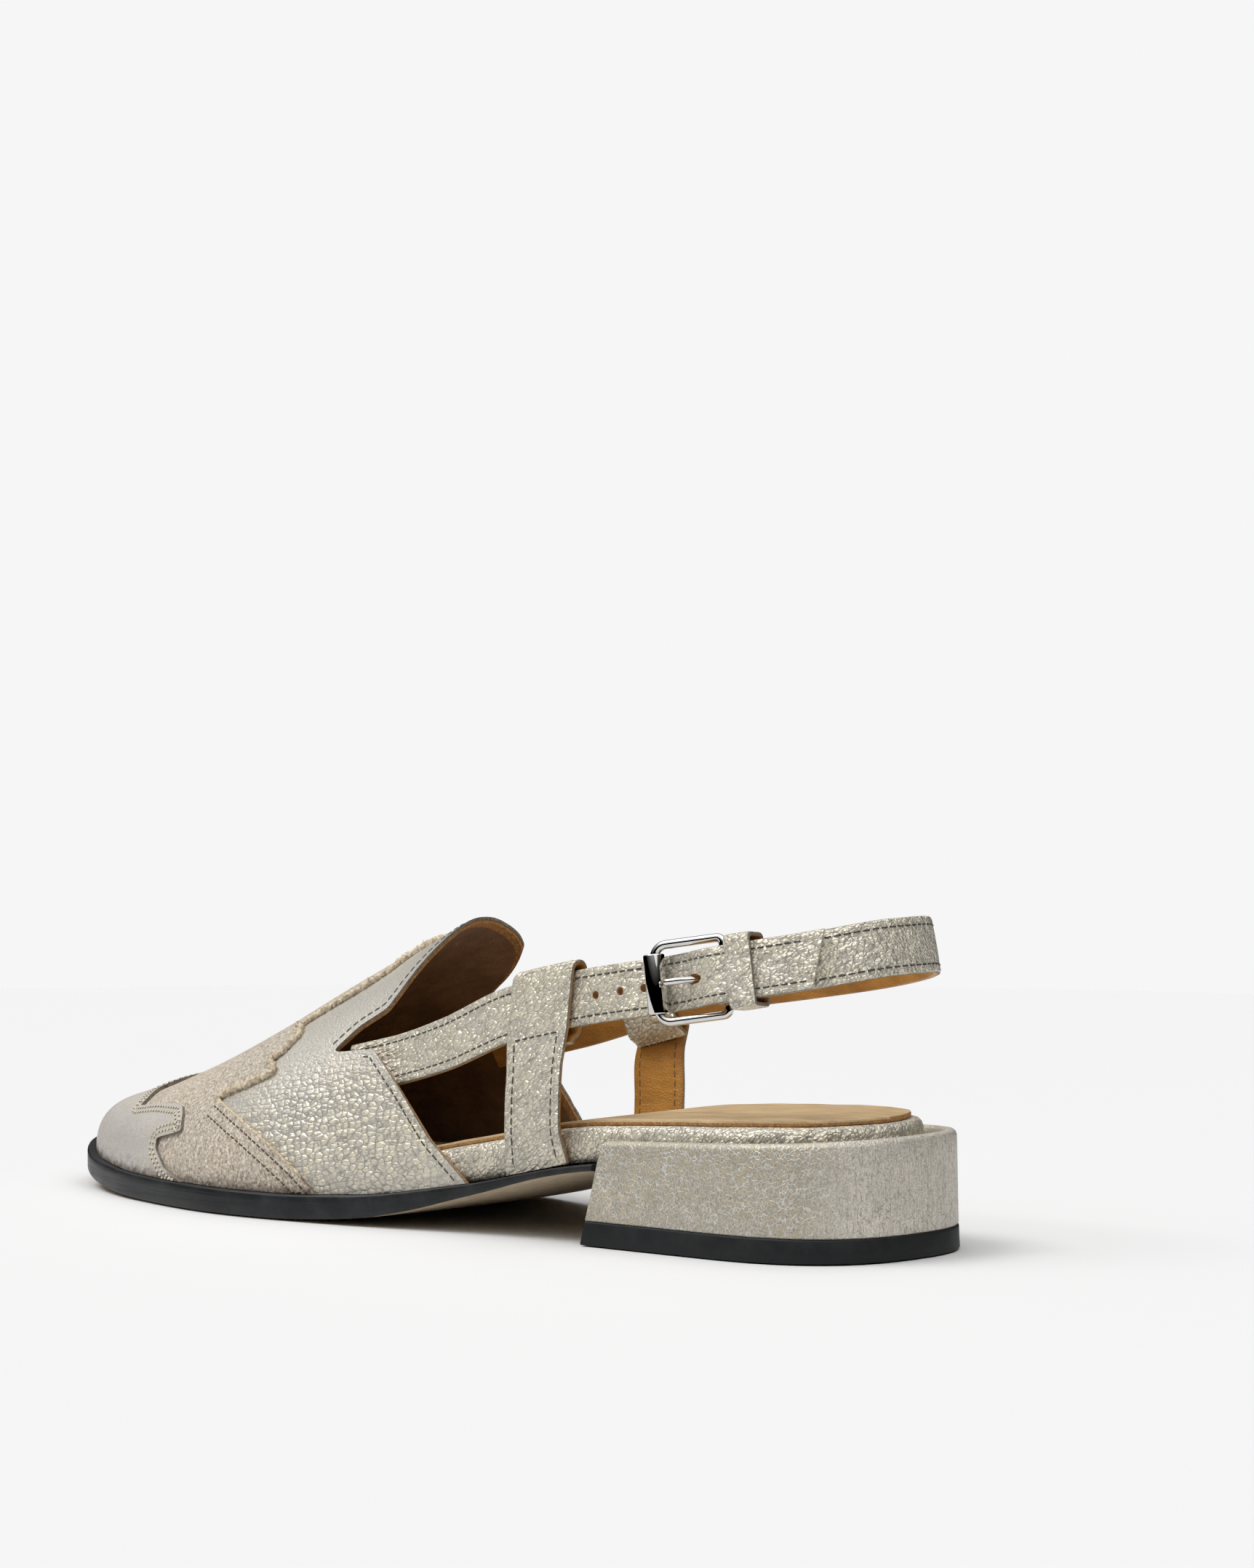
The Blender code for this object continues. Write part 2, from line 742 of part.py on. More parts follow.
def wire(name, centres, radii, around, material, closed=False):
    """A round wire along centres."""
    centres = np.array(centres)
    count = len(centres)
    last = count if closed else count - 1

    def place(a, b):
        k = round(a * last) % count
        after = centres[(k + 1) % count] if closed else centres[min(k + 1, count - 1)]
        before = centres[k - 1] if closed else centres[max(k - 1, 0)]
        along = unit(after - before)
        side = BUCKLE_UP if abs(np.dot(along, BUCKLE_UP)) < 0.9 else BUCKLE_OUT
        first = unit(np.cross(along, side))
        second = np.cross(along, first)
        turn = 2 * math.pi * b
        return centres[k] + radii[k] * (math.cos(turn) * first + math.sin(turn) * second)

    return tube(name, around, last, place, material)


def drill(name, s, half_length, radius):
    """A cutter through the strap at length s: a slot with round ends along the strap."""

    def place(a, b):
        turn = 2 * math.pi * b
        shift = math.copysign(half_length, math.cos(turn))
        along = s + shift + radius * math.cos(turn)
        return band_point(along, CUT_REACH * (2 * a - 1), radius * math.sin(turn))

    return tube(name, HOLE_SIDES, 1, place, LEATHER)


def make_strap_lateral():
    tip = outer_length(STRAP_TIP)
    lengths = np.linspace(0.0, tip, STRAP_STEPS)
    centres, sides = [], []
    for s in lengths:
        lift = column(STRAP_LIFT, 1, column(ROUTE, 1, s))
        slant = STRAP_TIP_SLANT * BAND_HALF_WIDTH * (s / tip) ** STRAP_TIP_SHARPNESS
        top = band_point(s + slant, lift, BAND_HALF_WIDTH)
        bottom = band_point(s - slant, lift, -BAND_HALF_WIDTH)
        centres.append((top + bottom) / 2)
        sides.append((top - bottom) / 2)
    strap = ribbon("strap_lateral", centres, sides, [BAND_HALF_THICKNESS] * len(centres), LEATHER)
    for number, x in enumerate(STRAP_HOLES):
        cut_with(strap, drill(f"strap_hole_{number}", outer_length(x), 0.0, STRAP_HOLE_RADIUS))
    cut_with(strap, drill("prong_hole", HINGE - PRONG_HOLE_FORWARD, PRONG_HOLE_HALF, PRONG_HOLE_RADIUS))
    return strap


def make_sling():
    fold = smooth_path([(HINGE + back, out, half) for back, out, half in SLING_FOLD], FOLD_STEPS)
    rest = [(s, 0.0, BAND_HALF_THICKNESS) for s in np.linspace(HINGE + FOLD_BACK, ROUTE_END, SLING_STEPS)]
    path = [tuple(row) for row in fold] + rest
    centres = [band_point(s, out, 0.0) for s, out, _ in path]
    sides = [band_frame(s)[3] * BAND_HALF_WIDTH for s, _, _ in path]
    sling = ribbon("sling", centres, sides, [half for _, _, half in path], LEATHER)
    corners = ((0, -1), (1, -1), (1, 1), (0, 1))

    def place(a, b):
        back, up = corners[round(b * 4) % 4]
        out = PRONG_SLOT_DEPTH[0] + (PRONG_SLOT_DEPTH[1] - PRONG_SLOT_DEPTH[0]) * a
        return band_point(HINGE + PRONG_SLOT[back], out, up * PRONG_SLOT_HALF)

    cut_with(sling, tube("prong_slot", 4, 1, place, LEATHER))
    return sling


def frame_point(share, up):
    """A point in the buckle's plane, share 0 at the hinge bar and 1 at the roller's axis."""
    start = band_point(HINGE, HINGE_OUT, up)
    return start + (band_point(ROLLER, ROLLER_OUT, up) - start) * share


def make_buckle():
    length = float(np.linalg.norm(frame_point(1.0, 0.0) - frame_point(0.0, 0.0)))
    centres = []
    for quarter in range(4):
        side_x, side_up = CORNERS[quarter]
        corner = FRAME_FRONT_CORNER if side_x > 0 else FRAME_REAR_CORNER
        for step in range(7):
            turn = math.radians(90 * quarter + 15 * step)
            along = length / 2 + side_x * (length / 2 - corner) + corner * math.cos(turn)
            up = side_up * (FRAME_HALF_HEIGHT - corner) + corner * math.sin(turn)
            centres.append(frame_point(along / length, up))
    wire("buckle_frame", centres, [WIRE_RADIUS] * len(centres), WIRE_SIDES, CHROME, closed=True)

    axis = unit(frame_point(1.0, 1.0) - frame_point(1.0, -1.0))
    first = unit(np.cross(axis, BUCKLE_OUT))
    second = np.cross(axis, first)
    profile = ((ROLLER_BORE, -1), (ROLLER_RADIUS, -1), (ROLLER_RADIUS, 1), (ROLLER_BORE, 1))

    def roller(a, b):
        radius, side = profile[round(b * 4) % 4]
        turn = 2 * math.pi * a
        middle = frame_point(1.0, 0.0) + side * ROLLER_HALF_LENGTH * axis
        return middle + radius * (math.cos(turn) * first + math.sin(turn) * second)

    tube("buckle_roller", 4, ROLLER_SIDES, roller, CHROME)
    prong = smooth_path([(HINGE - forward, out, radius) for forward, out, radius in PRONG_PATH], PRONG_STEPS)
    wire("buckle_prong", [band_point(s, out, 0.0) for s, out, _ in prong], prong[:, 2], WIRE_SIDES, CHROME)


def make_keeper():
    middle = sum(KEEPER_SPAN) / 2
    reach_out = (KEEPER_SPAN[1] - KEEPER_SPAN[0]) / 2
    reach_up = BAND_HALF_WIDTH + KEEPER_SLACK
    stations = (-KEEPER_HALF_LENGTH, 0.0, KEEPER_HALF_LENGTH)
    profile = [(d, 0.0) for d in stations] + [(d, KEEPER_THICKNESS) for d in reversed(stations)]
    ring = [(*CORNERS[quarter], 90 * quarter + 30 * step) for quarter in range(4) for step in range(4)]
    centre = outer_length(KEEPER_X)

    def place(a, b):
        side_out, side_up, turn = ring[round(a * len(ring)) % len(ring)]
        shift, grow = profile[round(b * len(profile)) % len(profile)]
        radius = KEEPER_ROUND + grow
        out = middle + side_out * (reach_out - KEEPER_ROUND) + radius * math.cos(math.radians(turn))
        up = side_up * (reach_up - KEEPER_ROUND) + radius * math.sin(math.radians(turn))
        return band_point(centre + shift, out, up)

    return tube("keeper", len(profile), len(ring), place, LEATHER)


def make_t_strap(name, s, lean, tail, half_widths):
    """A side strap: lean tilts its loop back for each mm up, half_widths are of the foot, upright and loop."""
    foot, upright, looped = half_widths
    along = band_frame(s)[1]
    loop = [band_point(s + lean * up, out, up) for out, up in T_LOOP]
    centres = np.vstack([smooth_path(list(tail) + loop[:1], T_TAIL_STEPS), loop[1:]])
    heights = [tail[0][2], tail[0][2] + T_FOOT, loop[0][2] - T_WIDENING, loop[0][2]]
    halves = np.interp(centres[:, 2], heights, [foot, upright, upright, looped])
    halves[T_TAIL_STEPS:] = looped
    sides = [along * half for half in halves]
    return ribbon(name, centres, sides, [T_HALF_THICKNESS] * len(centres), LEATHER)


for old in list(bpy.data.objects):
    bpy.data.objects.remove(old)
SHOE = bpy.data.collections.new("slingback_shoe")
CUTTERS = bpy.data.collections.new("cutters")
for collection in (SHOE, CUTTERS):
    bpy.context.scene.collection.children.link(collection)

LEATHER = plain_material("metallic_leather", (0.50, 0.46, 0.39), 0.42, 0.35)
SUEDE = plain_material("suede", (0.48, 0.41, 0.34), 0.95)
TAN = plain_material("tan_leather", (0.50, 0.27, 0.11), 0.55)
SOLE_BLACK = plain_material("black_sole", (0.02, 0.02, 0.022), 0.4)
RUBBER = plain_material("black_rubber", (0.02, 0.02, 0.02), 0.6)
CHROME = plain_material("chrome", (0.8, 0.8, 0.8), 0.12, 1.0)

make_outsole()
make_heel()
make_top_piece()
make_insole()
make_sock()
make_upper()
make_toe_cap()
make_suede_wing()
make_strap_lateral()
make_sling()
make_buckle()
make_keeper()
make_t_strap(
    "t_strap_lateral", outer_length(T_LATERAL_X), T_LATERAL_LEAN, T_LATERAL_TAIL, T_LATERAL_HALF_WIDTHS)
make_t_strap(
    "t_strap_medial", inner_length(T_MEDIAL_X), T_MEDIAL_LEAN, T_MEDIAL_TAIL, T_MEDIAL_HALF_WIDTHS)
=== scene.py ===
"""The look of the slingback shoe: leather, suede, lining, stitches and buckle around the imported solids.

Lengths are millimetres in the shoe's own frame, as in the part's source: x forward from the back of the heel,
y to the outer side, z up from the floor. metres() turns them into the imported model's frame.
"""

import math

import bmesh
import bpy
import numpy as np
from mathutils import Matrix, Vector


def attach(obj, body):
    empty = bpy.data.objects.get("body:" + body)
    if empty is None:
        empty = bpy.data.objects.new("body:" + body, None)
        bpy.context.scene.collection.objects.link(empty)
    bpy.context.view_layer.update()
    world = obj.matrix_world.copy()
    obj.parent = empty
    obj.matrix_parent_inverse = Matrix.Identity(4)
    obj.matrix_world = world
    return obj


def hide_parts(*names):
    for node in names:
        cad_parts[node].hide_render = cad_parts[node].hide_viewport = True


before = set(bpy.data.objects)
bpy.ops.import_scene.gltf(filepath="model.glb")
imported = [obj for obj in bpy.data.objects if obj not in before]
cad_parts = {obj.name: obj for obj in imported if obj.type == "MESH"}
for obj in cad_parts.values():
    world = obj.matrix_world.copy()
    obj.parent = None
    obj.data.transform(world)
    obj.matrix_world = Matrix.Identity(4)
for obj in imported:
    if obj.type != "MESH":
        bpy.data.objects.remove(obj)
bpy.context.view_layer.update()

MM = 0.001

# The last: the form that the upper is pulled over. Its outline is also the edge of the insole.
LAST_OUTLINE = (
    # x, centre_y, half_width
    (5.4, 0.0, 0.0),
    (20.0, 0.0, 23.3),
    (50.0, 0.3, 28.6),
    (95.0, 3.0, 27.3),
    (145.0, 2.0, 33.9),
    (180.0, -0.5, 39.0),
    (215.0, -2.5, 33.2),
    (242.0, -3.6, 21.0),
    (255.8, -4.3, 0.0),
)
FEATHER_LINE = (
    # x, z of the insole's underside
    (0.0, 22.8), (70.0, 18.8), (110.0, 11.3), (140.0, 7.1), (165.0, 6.1), (205.0, 6.1), (240.0, 7.3),
    (264.0, 11.3),
)
UPPER_SECTIONS = (
    # x, ridge_y, ridge_height over the feather line, squareness of the section
    (95.0, -6.0, 80.0, 2.0),
    (138.5, -6.0, 61.2, 2.0),
    (163.0, -5.0, 49.2, 2.0),
    (188.0, -4.5, 35.5, 2.1),
    (208.0, -4.3, 26.0, 2.2),
    (228.0, -4.2, 17.7, 2.3),
    (242.0, -4.2, 12.4, 2.3),
    (250.0, -4.3, 8.4, 2.3),
    (255.8, -4.3, 0.0, 2.4),
)
TOE_TIP = LAST_OUTLINE[-1][0]
TOE_START = 225.0
TOE_CLOSING = 3.0
HEEL_END = LAST_OUTLINE[0][0]

# The upper's layers, as distances of their two faces out from the last. The toe cap lies on the suede.
WALL = 1.4
LINING_FACES = (0.0, 0.72)
LEATHER_FACES = (0.74, WALL)
SUEDE_FACES = (WALL + 0.02, WALL + 0.95)
CAP_FACES = (WALL + 0.97, WALL + 1.9)
REAR_EDGE = (
    # angle up the section in degrees, x
    (0.0, 108.5), (9.0, 119.4), (22.0, 130.9), (33.5, 141.8), (36.0, 153.5), (37.2, 155.0), (43.0, 149.3),
    (44.5, 142.8), (49.0, 141.3), (57.0, 139.9), (65.0, 138.4), (76.0, 137.2), (90.0, 138.2),
    (103.0, 138.4), (113.0, 137.9), (118.0, 138.4), (122.0, 141.8), (125.0, 146.3), (126.8, 152.3),
    (136.0, 158.0), (142.0, 161.0), (146.5, 148.0), (158.0, 138.0), (171.0, 127.5), (180.0, 121.0),
)
# Rear edges of the overlays on the outer half; the inner half mirrors them.
CAP_EDGE = (
    # angle, x
    (0.0, 196.0), (4.0, 203.6), (8.0, 206.1), (12.0, 208.6), (17.2, 209.1), (19.0, 198.6), (27.0, 200.6),
    (32.0, 203.1), (37.5, 216.1), (40.0, 227.0), (48.0, 227.5), (63.0, 231.0), (76.0, 228.5), (90.0, 227.0),
)
SUEDE_EDGE = (
    # angle, x
    (0.0, 150.8), (7.0, 159.0), (16.0, 170.7), (23.0, 179.7), (31.0, 189.2), (33.0, 189.7), (34.5, 181.0),
    (35.8, 172.0), (42.0, 176.0), (45.0, 173.0), (50.0, 171.2), (57.0, 174.7), (60.0, 168.0), (62.0, 160.0),
    (66.0, 153.0), (78.0, 149.5), (90.0, 148.5),
)
SUEDE_FRONT = 238.0

# The sole and the heel.
LEDGE = (
    # x, how far the outsole reaches past the last
    (60.0, 2.7), (110.0, 2.8), (150.0, 4.4), (220.0, 4.5), (255.8, 6.2),
)
SOLE_SECTIONS = (
    # x, edge_thickness, middle_thickness
    (60.0, 1.5, 3.4),
    (85.0, 1.7, 3.8),
    (105.0, 2.7, 4.6),
    (125.0, 4.6, 5.3),
    (145.0, 5.6, 5.8),
    (165.0, 5.8, 5.8),
    (220.0, 5.8, 5.8),
    (264.0, 4.0, 5.8),
)
SOLE_BACK = 69.8
SOLE_ROUNDNESS = 2.5
SOCK_FRONT = 222.0
HEEL_HALF_WIDTH = 32.3
HEEL_SQUARENESS = 2.57
HEEL_BEND = 37.0
HEEL_SIDE_SHARE = 0.16
HEEL_FRONT_LOW = 73.2
HEEL_FRONT_HIGH = 67.2
HEEL_RIM_BACK = 27.6
HEEL_RIM_FRONT = 24.1
TOP_PIECE = 5.6
INSOLE_SECTIONS = (
    # x, thickness, inset from the last
    (0.0, 7.5, 0.3),
    (60.0, 8.1, 0.3),
    (105.0, 9.0, 0.3),
    (130.0, 8.0, 1.0),
    (165.0, 4.5, 1.2),
    (200.0, 3.0, 1.2),
    (240.0, 3.0, 1.6),
    (264.0, 2.5, 3.0),
)
SOCK_THICKNESS = 1.2

# The ankle strap. Its middle line runs from under the outer quarter, round the heel, to the inner quarter.
BAND_ROUTE = (
    # x, y, z, lean of the top edge towards the ankle in degrees
    (150.0, 27.8, 34.8, 26.5),
    (137.0, 26.9, 37.7, 23.5),
    (119.0, 28.2, 42.8, 14.0),
    (97.0, 29.0, 51.2, 7.0),
    (78.0, 29.0, 55.6, 5.0),
    (54.5, 28.1, 59.7, 5.0),
    (30.0, 24.6, 64.2, 6.0),
    (15.0, 19.2, 67.0, 8.0),
    (7.1, 13.0, 68.9, 10.0),
    (3.7, 7.0, 69.8, 11.0),
    (2.4, 0.0, 70.0, 11.0),
    (3.7, -7.0, 69.8, 11.0),
    (7.1, -13.0, 68.9, 10.0),
    (15.0, -19.2, 67.0, 8.0),
    (30.0, -24.6, 64.0, 6.0),
    (54.5, -27.4, 60.0, 5.0),
    (80.0, -27.4, 56.0, 6.0),
    (103.0, -27.4, 51.0, 8.0),
    (125.0, -27.4, 44.8, 12.0),
    (145.0, -26.6, 40.0, 15.5),
    (156.0, -27.5, 37.4, 19.5),
)
BAND_HALF_WIDTH = 6.4
BAND_HALF_THICKNESS = 0.95
STRAP_TIP = 13.6
STRAP_TIP_SLANT = 0.35
STRAP_TIP_SHARPNESS = 40
STRAP_LIFT = (
    # x, how far the front strap lies out from the middle line
    (0.0, 2.2), (31.0, 2.2), (36.2, 2.35), (40.8, 1.2), (45.3, -0.6), (52.0, -1.35), (58.0, -0.7),
    (65.0, 0.0), (150.0, 0.0),
)
STRAP_HOLES = (70.5, 63.3, 57.1)
STRAP_HOLE_RADIUS = 0.95

# The buckle. Its hinge bar lies inside the sling's folded end and its roller over the front strap.
HINGE_X = 36.2
HINGE_OUT = -1.95
ROLLER_X = 52.0
ROLLER_OUT = 2.3
ROLLER_RADIUS = 2.4
ROLLER_BORE = 1.6
ROLLER_HALF_LENGTH = 6.8
FRAME_HALF_HEIGHT = 8.75
FRAME_FRONT_CORNER = 3.2
FRAME_REAR_CORNER = 1.4
WIRE_RADIUS = 1.0
SLING_FOLD = (
    # distance back from the hinge, distance out from the middle line, half thickness
    (14.0, -1.7, 0.45),
    (5.4, -1.7, 0.45),
    (3.5, -2.0, 0.45),
    (1.7, -3.45, 0.5),
    (0.0, -3.9, 0.6),
    (-1.38, -3.33, 0.65),
    (-1.95, -1.95, 0.65),
    (-1.38, -0.57, 0.65),
    (0.0, 0.0, 0.65),
    (4.0, 0.0, 0.85),
    (8.0, 0.0, 0.95),
)
PRONG_PATH = (
    # distance forward from the hinge, distance out from the middle line, radius
    (-1.95, -1.3, 0.8),
    (-1.5, -0.5, 0.8),
    (0.0, 0.1, 0.8),
    (1.6, -0.1, 0.8),
    (3.4, -1.1, 0.8),
    (5.0, -0.8, 0.8),
    (6.6, 0.9, 0.8),
    (8.4, 2.8, 0.8),
    (10.4, 3.75, 0.8),
    (11.8, 4.05, 0.78),
    (12.8, 4.1, 0.7),
)
FOLD_BACK = 14.0
PRONG_HOLE_FORWARD = 6.4
PRONG_HOLE_HALF = 1.3
PRONG_HOLE_RADIUS = 1.2
KEEPER_X = 29.6
KEEPER_HALF_LENGTH = 3.1
KEEPER_THICKNESS = 1.1
KEEPER_SPAN = (-2.5, 3.45)
KEEPER_ROUND = 0.5
KEEPER_SLACK = 1.0

# The upright side straps: up from the feather line, over the ankle strap and back down inside it.
T_HALF_THICKNESS = 0.7
T_FOOT = 7.0
T_WIDENING = 8.0
T_LATERAL_X = 86.2
T_LATERAL_LEAN = 0.27
T_LATERAL_HALF_WIDTHS = (9.7, 8.6, 9.5)
T_LATERAL_TAIL = ((87.4, 30.9, 16.3), (87.5, 32.4, 24.0), (87.1, 32.9, 31.0), (86.9, 32.6, 38.0))
T_MEDIAL_X = 104.4
T_MEDIAL_LEAN = 0.0
T_MEDIAL_HALF_WIDTHS = (7.9, 7.9, 7.9)
T_MEDIAL_TAIL = ((100.9, -25.5, 13.4), (101.6, -27.0, 20.6), (102.5, -28.4, 28.8), (103.5, -29.5, 37.0))
T_LOOP = (
    # distance out from the ankle strap's middle line, distance up it
    (2.1, -6.8), (2.1, 0.0), (2.1, 5.9), (1.8, 7.1), (1.05, 7.85), (0.0, 8.1), (-1.05, 7.85), (-1.8, 7.1),
    (-2.1, 5.9), (-2.1, 0.0), (-2.1, -6.4), (-1.5, -7.8), (-0.4, -8.9), (0.1, -9.9),
)


def column(rows, index, x):
    """One column of a table at x, on a smooth curve that never overshoots its rows. x may be an array."""
    xs = np.array([row[0] for row in rows], float)
    ys = np.array([row[index] for row in rows], float)
    steps = np.diff(xs)
    slopes = np.diff(ys) / steps
    before, after = slopes[:-1], slopes[1:]
    weights = (2 * steps[1:] + steps[:-1], steps[1:] + 2 * steps[:-1])
    rising = before * after > 0
    safe = np.where(rising, before, 1.0), np.where(rising, after, 1.0)
    inner = sum(weights) / (weights[0] / safe[0] + weights[1] / safe[1])
    tangents = np.concatenate([[slopes[0]], np.where(rising, inner, 0.0), [slopes[-1]]])
    x = np.clip(np.asarray(x, float), xs[0], xs[-1])
    k = np.clip(np.searchsorted(xs, x) - 1, 0, len(steps) - 1)
    t = (x - xs[k]) / steps[k]
    return (
        ys[k] * (1 + 2 * t) * (1 - t) ** 2
        + ys[k + 1] * t**2 * (3 - 2 * t)
        + steps[k] * t * (1 - t) * (tangents[k] * (1 - t) - tangents[k + 1] * t)
    )


def squared(rows, index):
    return [tuple(v * v if i == index else v for i, v in enumerate(row)) for row in rows]


OUTLINE_SQUARED = squared(LAST_OUTLINE, 2)
SECTIONS_SQUARED = squared(UPPER_SECTIONS, 2)


def half_width(x):
    return np.sqrt(np.maximum(column(OUTLINE_SQUARED, 2, x), 0.0))


def feather(x):
    return column(FEATHER_LINE, 1, x)


def outline_x(share):
    return HEEL_END + (TOE_TIP - HEEL_END) * (1 - np.cos(np.pi * share)) / 2


def outline_share(x):
    return math.acos(1 - 2 * (x - HEEL_END) / (TOE_TIP - HEEL_END)) / math.pi


def outline_point(share, side, grow):
    """(x, y) on the last's outline, moved out by grow. side is 1 on the outer and -1 on the inner edge."""
    share = np.asarray(share, float)
    low, high = np.maximum(share - 0.002, 0.0), np.minimum(share + 0.002, 1.0)

    def at(s):
        x = outline_x(s)
        return np.stack([x, column(LAST_OUTLINE, 1, x) + side * half_width(x)], -1)

    along = at(high) - at(low)
    along /= np.linalg.norm(along, axis=-1)[..., None]
    point = at(share)
    x = point[..., 0] - side * along[..., 1] * grow
    y = point[..., 1] + side * along[..., 0] * grow
    x = np.where(share <= 0, HEEL_END - grow, np.where(share >= 1, TOE_TIP + grow, x))
    y = np.where(share <= 0, LAST_OUTLINE[0][1], np.where(share >= 1, LAST_OUTLINE[-1][1], y))
    return x, y


def upper_point(x, angle, grow):
    """Points of the upper, grow out from the last, at an angle from the outer feather edge over the ridge."""
    x = np.asarray(x, float)
    reach = np.maximum(0.0, (x - TOE_START) / (TOE_TIP + grow - TOE_START))
    x_last = x - grow * reach * reach
    power = 2 / column(UPPER_SECTIONS, 3, x_last)
    closing = grow * np.minimum(1.0, np.sqrt(np.maximum(TOE_TIP - x_last, 0.0) / TOE_CLOSING))
    wide = half_width(x_last) + closing
    high = np.sqrt(np.maximum(column(SECTIONS_SQUARED, 2, x_last), 0.0)) + closing
    across, up = np.cos(np.radians(angle)), np.sin(np.radians(angle))
    middle = column(LAST_OUTLINE, 1, x_last)
    lean = (column(UPPER_SECTIONS, 1, x_last) - middle) * up * up
    y = middle + lean + wide * np.sign(across) * np.abs(across) ** power
    return np.stack([x, y, feather(x) + high * np.abs(up) ** power], -1)


def mirrored(rows):
    return list(rows) + [(180 - angle, x) for angle, x in reversed(rows[:-1])]


ANGLES = np.linspace(0.0, 180.0, 1441)


def soft_edge(rows, softness):
    """The x of an edge at each of ANGLES, with its corners rounded over softness in degrees."""
    line = np.interp(ANGLES, *np.array(rows).T)
    reach = int(softness * 8 * 3)
    weights = np.exp(-0.5 * (np.arange(-reach, reach + 1) / (softness * 8)) ** 2)
    before, after = 2 * line[0] - line[reach:0:-1], 2 * line[-1] - line[-2:-reach - 2:-1]
    return np.convolve(np.concatenate([before, line, after]), weights / weights.sum(), "valid")


THROAT = soft_edge(REAR_EDGE, 0.7)
CAP_LINE = soft_edge(mirrored(CAP_EDGE), 0.5)
SUEDE_LINE = soft_edge(mirrored(SUEDE_EDGE), 0.55)
LEDGE_SHARES = np.linspace(0.4, 0.9, 200)
LEDGES = column(LEDGE, 1, outline_x(LEDGE_SHARES))
OUTER_REACH = outline_point(LEDGE_SHARES, 1, LEDGES)[1].max()
INNER_REACH = outline_point(LEDGE_SHARES, -1, LEDGES)[1].min()
SHOE_LENGTH = TOE_TIP + LEDGE[-1][1]
MIDDLE = np.array((SHOE_LENGTH / 2, (OUTER_REACH + INNER_REACH) / 2, 0.0))


def metres(points):
    return (np.asarray(points, float) - MIDDLE) * MM


def unit(vectors):
    return vectors / np.linalg.norm(vectors, axis=-1)[..., None]


def step(share, count):
    """The whole step out of count that a share lies on."""
    return np.round(share * count).astype(int)


def wave(value, seed):
    """A soft, repeatable wobble between about -1 and 1."""
    return (
        0.5 * np.sin(value * 1.0 + seed * 2.3)
        + 0.3 * np.sin(value * 2.17 + seed * 5.1)
        + 0.2 * np.sin(value * 4.31 + seed * 1.7)
    )


# Mesh helpers.
def grid(bm, rows, columns, place, paint=None, marks=None):
    """A sheet of quads shaped by place(a, b), with shares along and across it.

    paint(a, b) picks materials. marks(points) gives the height in mm that the dust follows."""
    layer = bm.verts.layers.float.get("rise") or (marks and bm.verts.layers.float.new("rise"))
    made = bmesh.ops.create_grid(bm, x_segments=rows, y_segments=columns, size=0.5)["verts"]
    if paint:
        for face in {face for vert in made for face in vert.link_faces}:
            middle = face.calc_center_median()
            face.material_index = paint(middle.x + 0.5, middle.y + 0.5)
    a = step(np.array([vert.co.x for vert in made]) + 0.5, rows) / rows
    b = step(np.array([vert.co.y for vert in made]) + 0.5, columns) / columns
    points = place(a, b)
    for vert, point in zip(made, metres(points)):
        vert.co = point
    if marks:
        for vert, mark in zip(made, marks(points)):
            vert[layer] = mark
    bmesh.ops.remove_doubles(bm, verts=made, dist=1e-7)


def add(name, data):
    obj = bpy.data.objects.new(name, data)
    bpy.context.scene.collection.objects.link(obj)
    return obj


def add_mesh(name, bm, materials):
    mesh = bpy.data.meshes.new(name)
    bm.to_mesh(mesh)
    bm.free()
    for material in materials:
        mesh.materials.append(material)
    return add(name, mesh)


def piece(name, bm, materials, slot, node=None, sharp=50):
    """Turns a finished bmesh into a piece of the shoe; node is the solid that it stands for."""
    bmesh.ops.recalc_face_normals(bm, faces=bm.faces)
    obj = add_mesh(name, bm, materials)
    obj.data.shade_smooth()
    obj.data.set_sharp_from_angle(angle=math.radians(sharp))
    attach(obj, "root")
    if node:
        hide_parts(node)
    return obj


def rise(points):
    return points[:, 2] - feather(points[:, 0])


def wall(rows, columns, place, faces, rim):
    """A wall between two sheets, place(a, b, grow) at the two values in faces. Its rim takes material rim."""
    bm = bmesh.new()
    for index, grow in enumerate(faces):
        grid(bm, rows, columns, lambda a, b: place(a, b, grow), lambda a, b: index, rise)
    edges = [edge for edge in bm.edges if edge.is_boundary]
    for face in bmesh.ops.bridge_loops(bm, edges=edges)["faces"]:
        face.material_index = rim
    return bm


def tube(rows, columns, place, paint=None):
    """A closed skin: place(a, b) goes once round each section as b runs from 0 to 1. Open ends are filled."""
    bm = bmesh.new()
    grid(bm, rows, columns, place, paint)
    bmesh.ops.remove_doubles(bm, verts=bm.verts, dist=1e-7)
    bmesh.ops.holes_fill(bm, edges=[edge for edge in bm.edges if edge.is_boundary], sides=0)
    return bm


def heading(centres, closed):
    if closed:
        return np.roll(centres, -1, axis=0) - np.roll(centres, 1, axis=0)
    return np.gradient(centres, axis=0)


def ribbon(centres, sides, halves, profile, closed=False):
    """A strip along centres. sides are half widths as vectors, halves half thicknesses, and profile rows are
    across, through, material."""
    count, ring = len(centres), len(profile)
    normals = unit(np.cross(heading(centres, closed), sides))
    across, through = np.array([row[:2] for row in profile]).T
    last = count if closed else count - 1

    def place(a, b):
        k, j = step(a, last) % count, step(b, ring) % ring
        return centres[k] + across[j][:, None] * sides[k] + (through[j] * halves[k])[:, None] * normals[k]

    return tube(last, ring, place, lambda a, b: profile[int(b * ring) % ring][2])


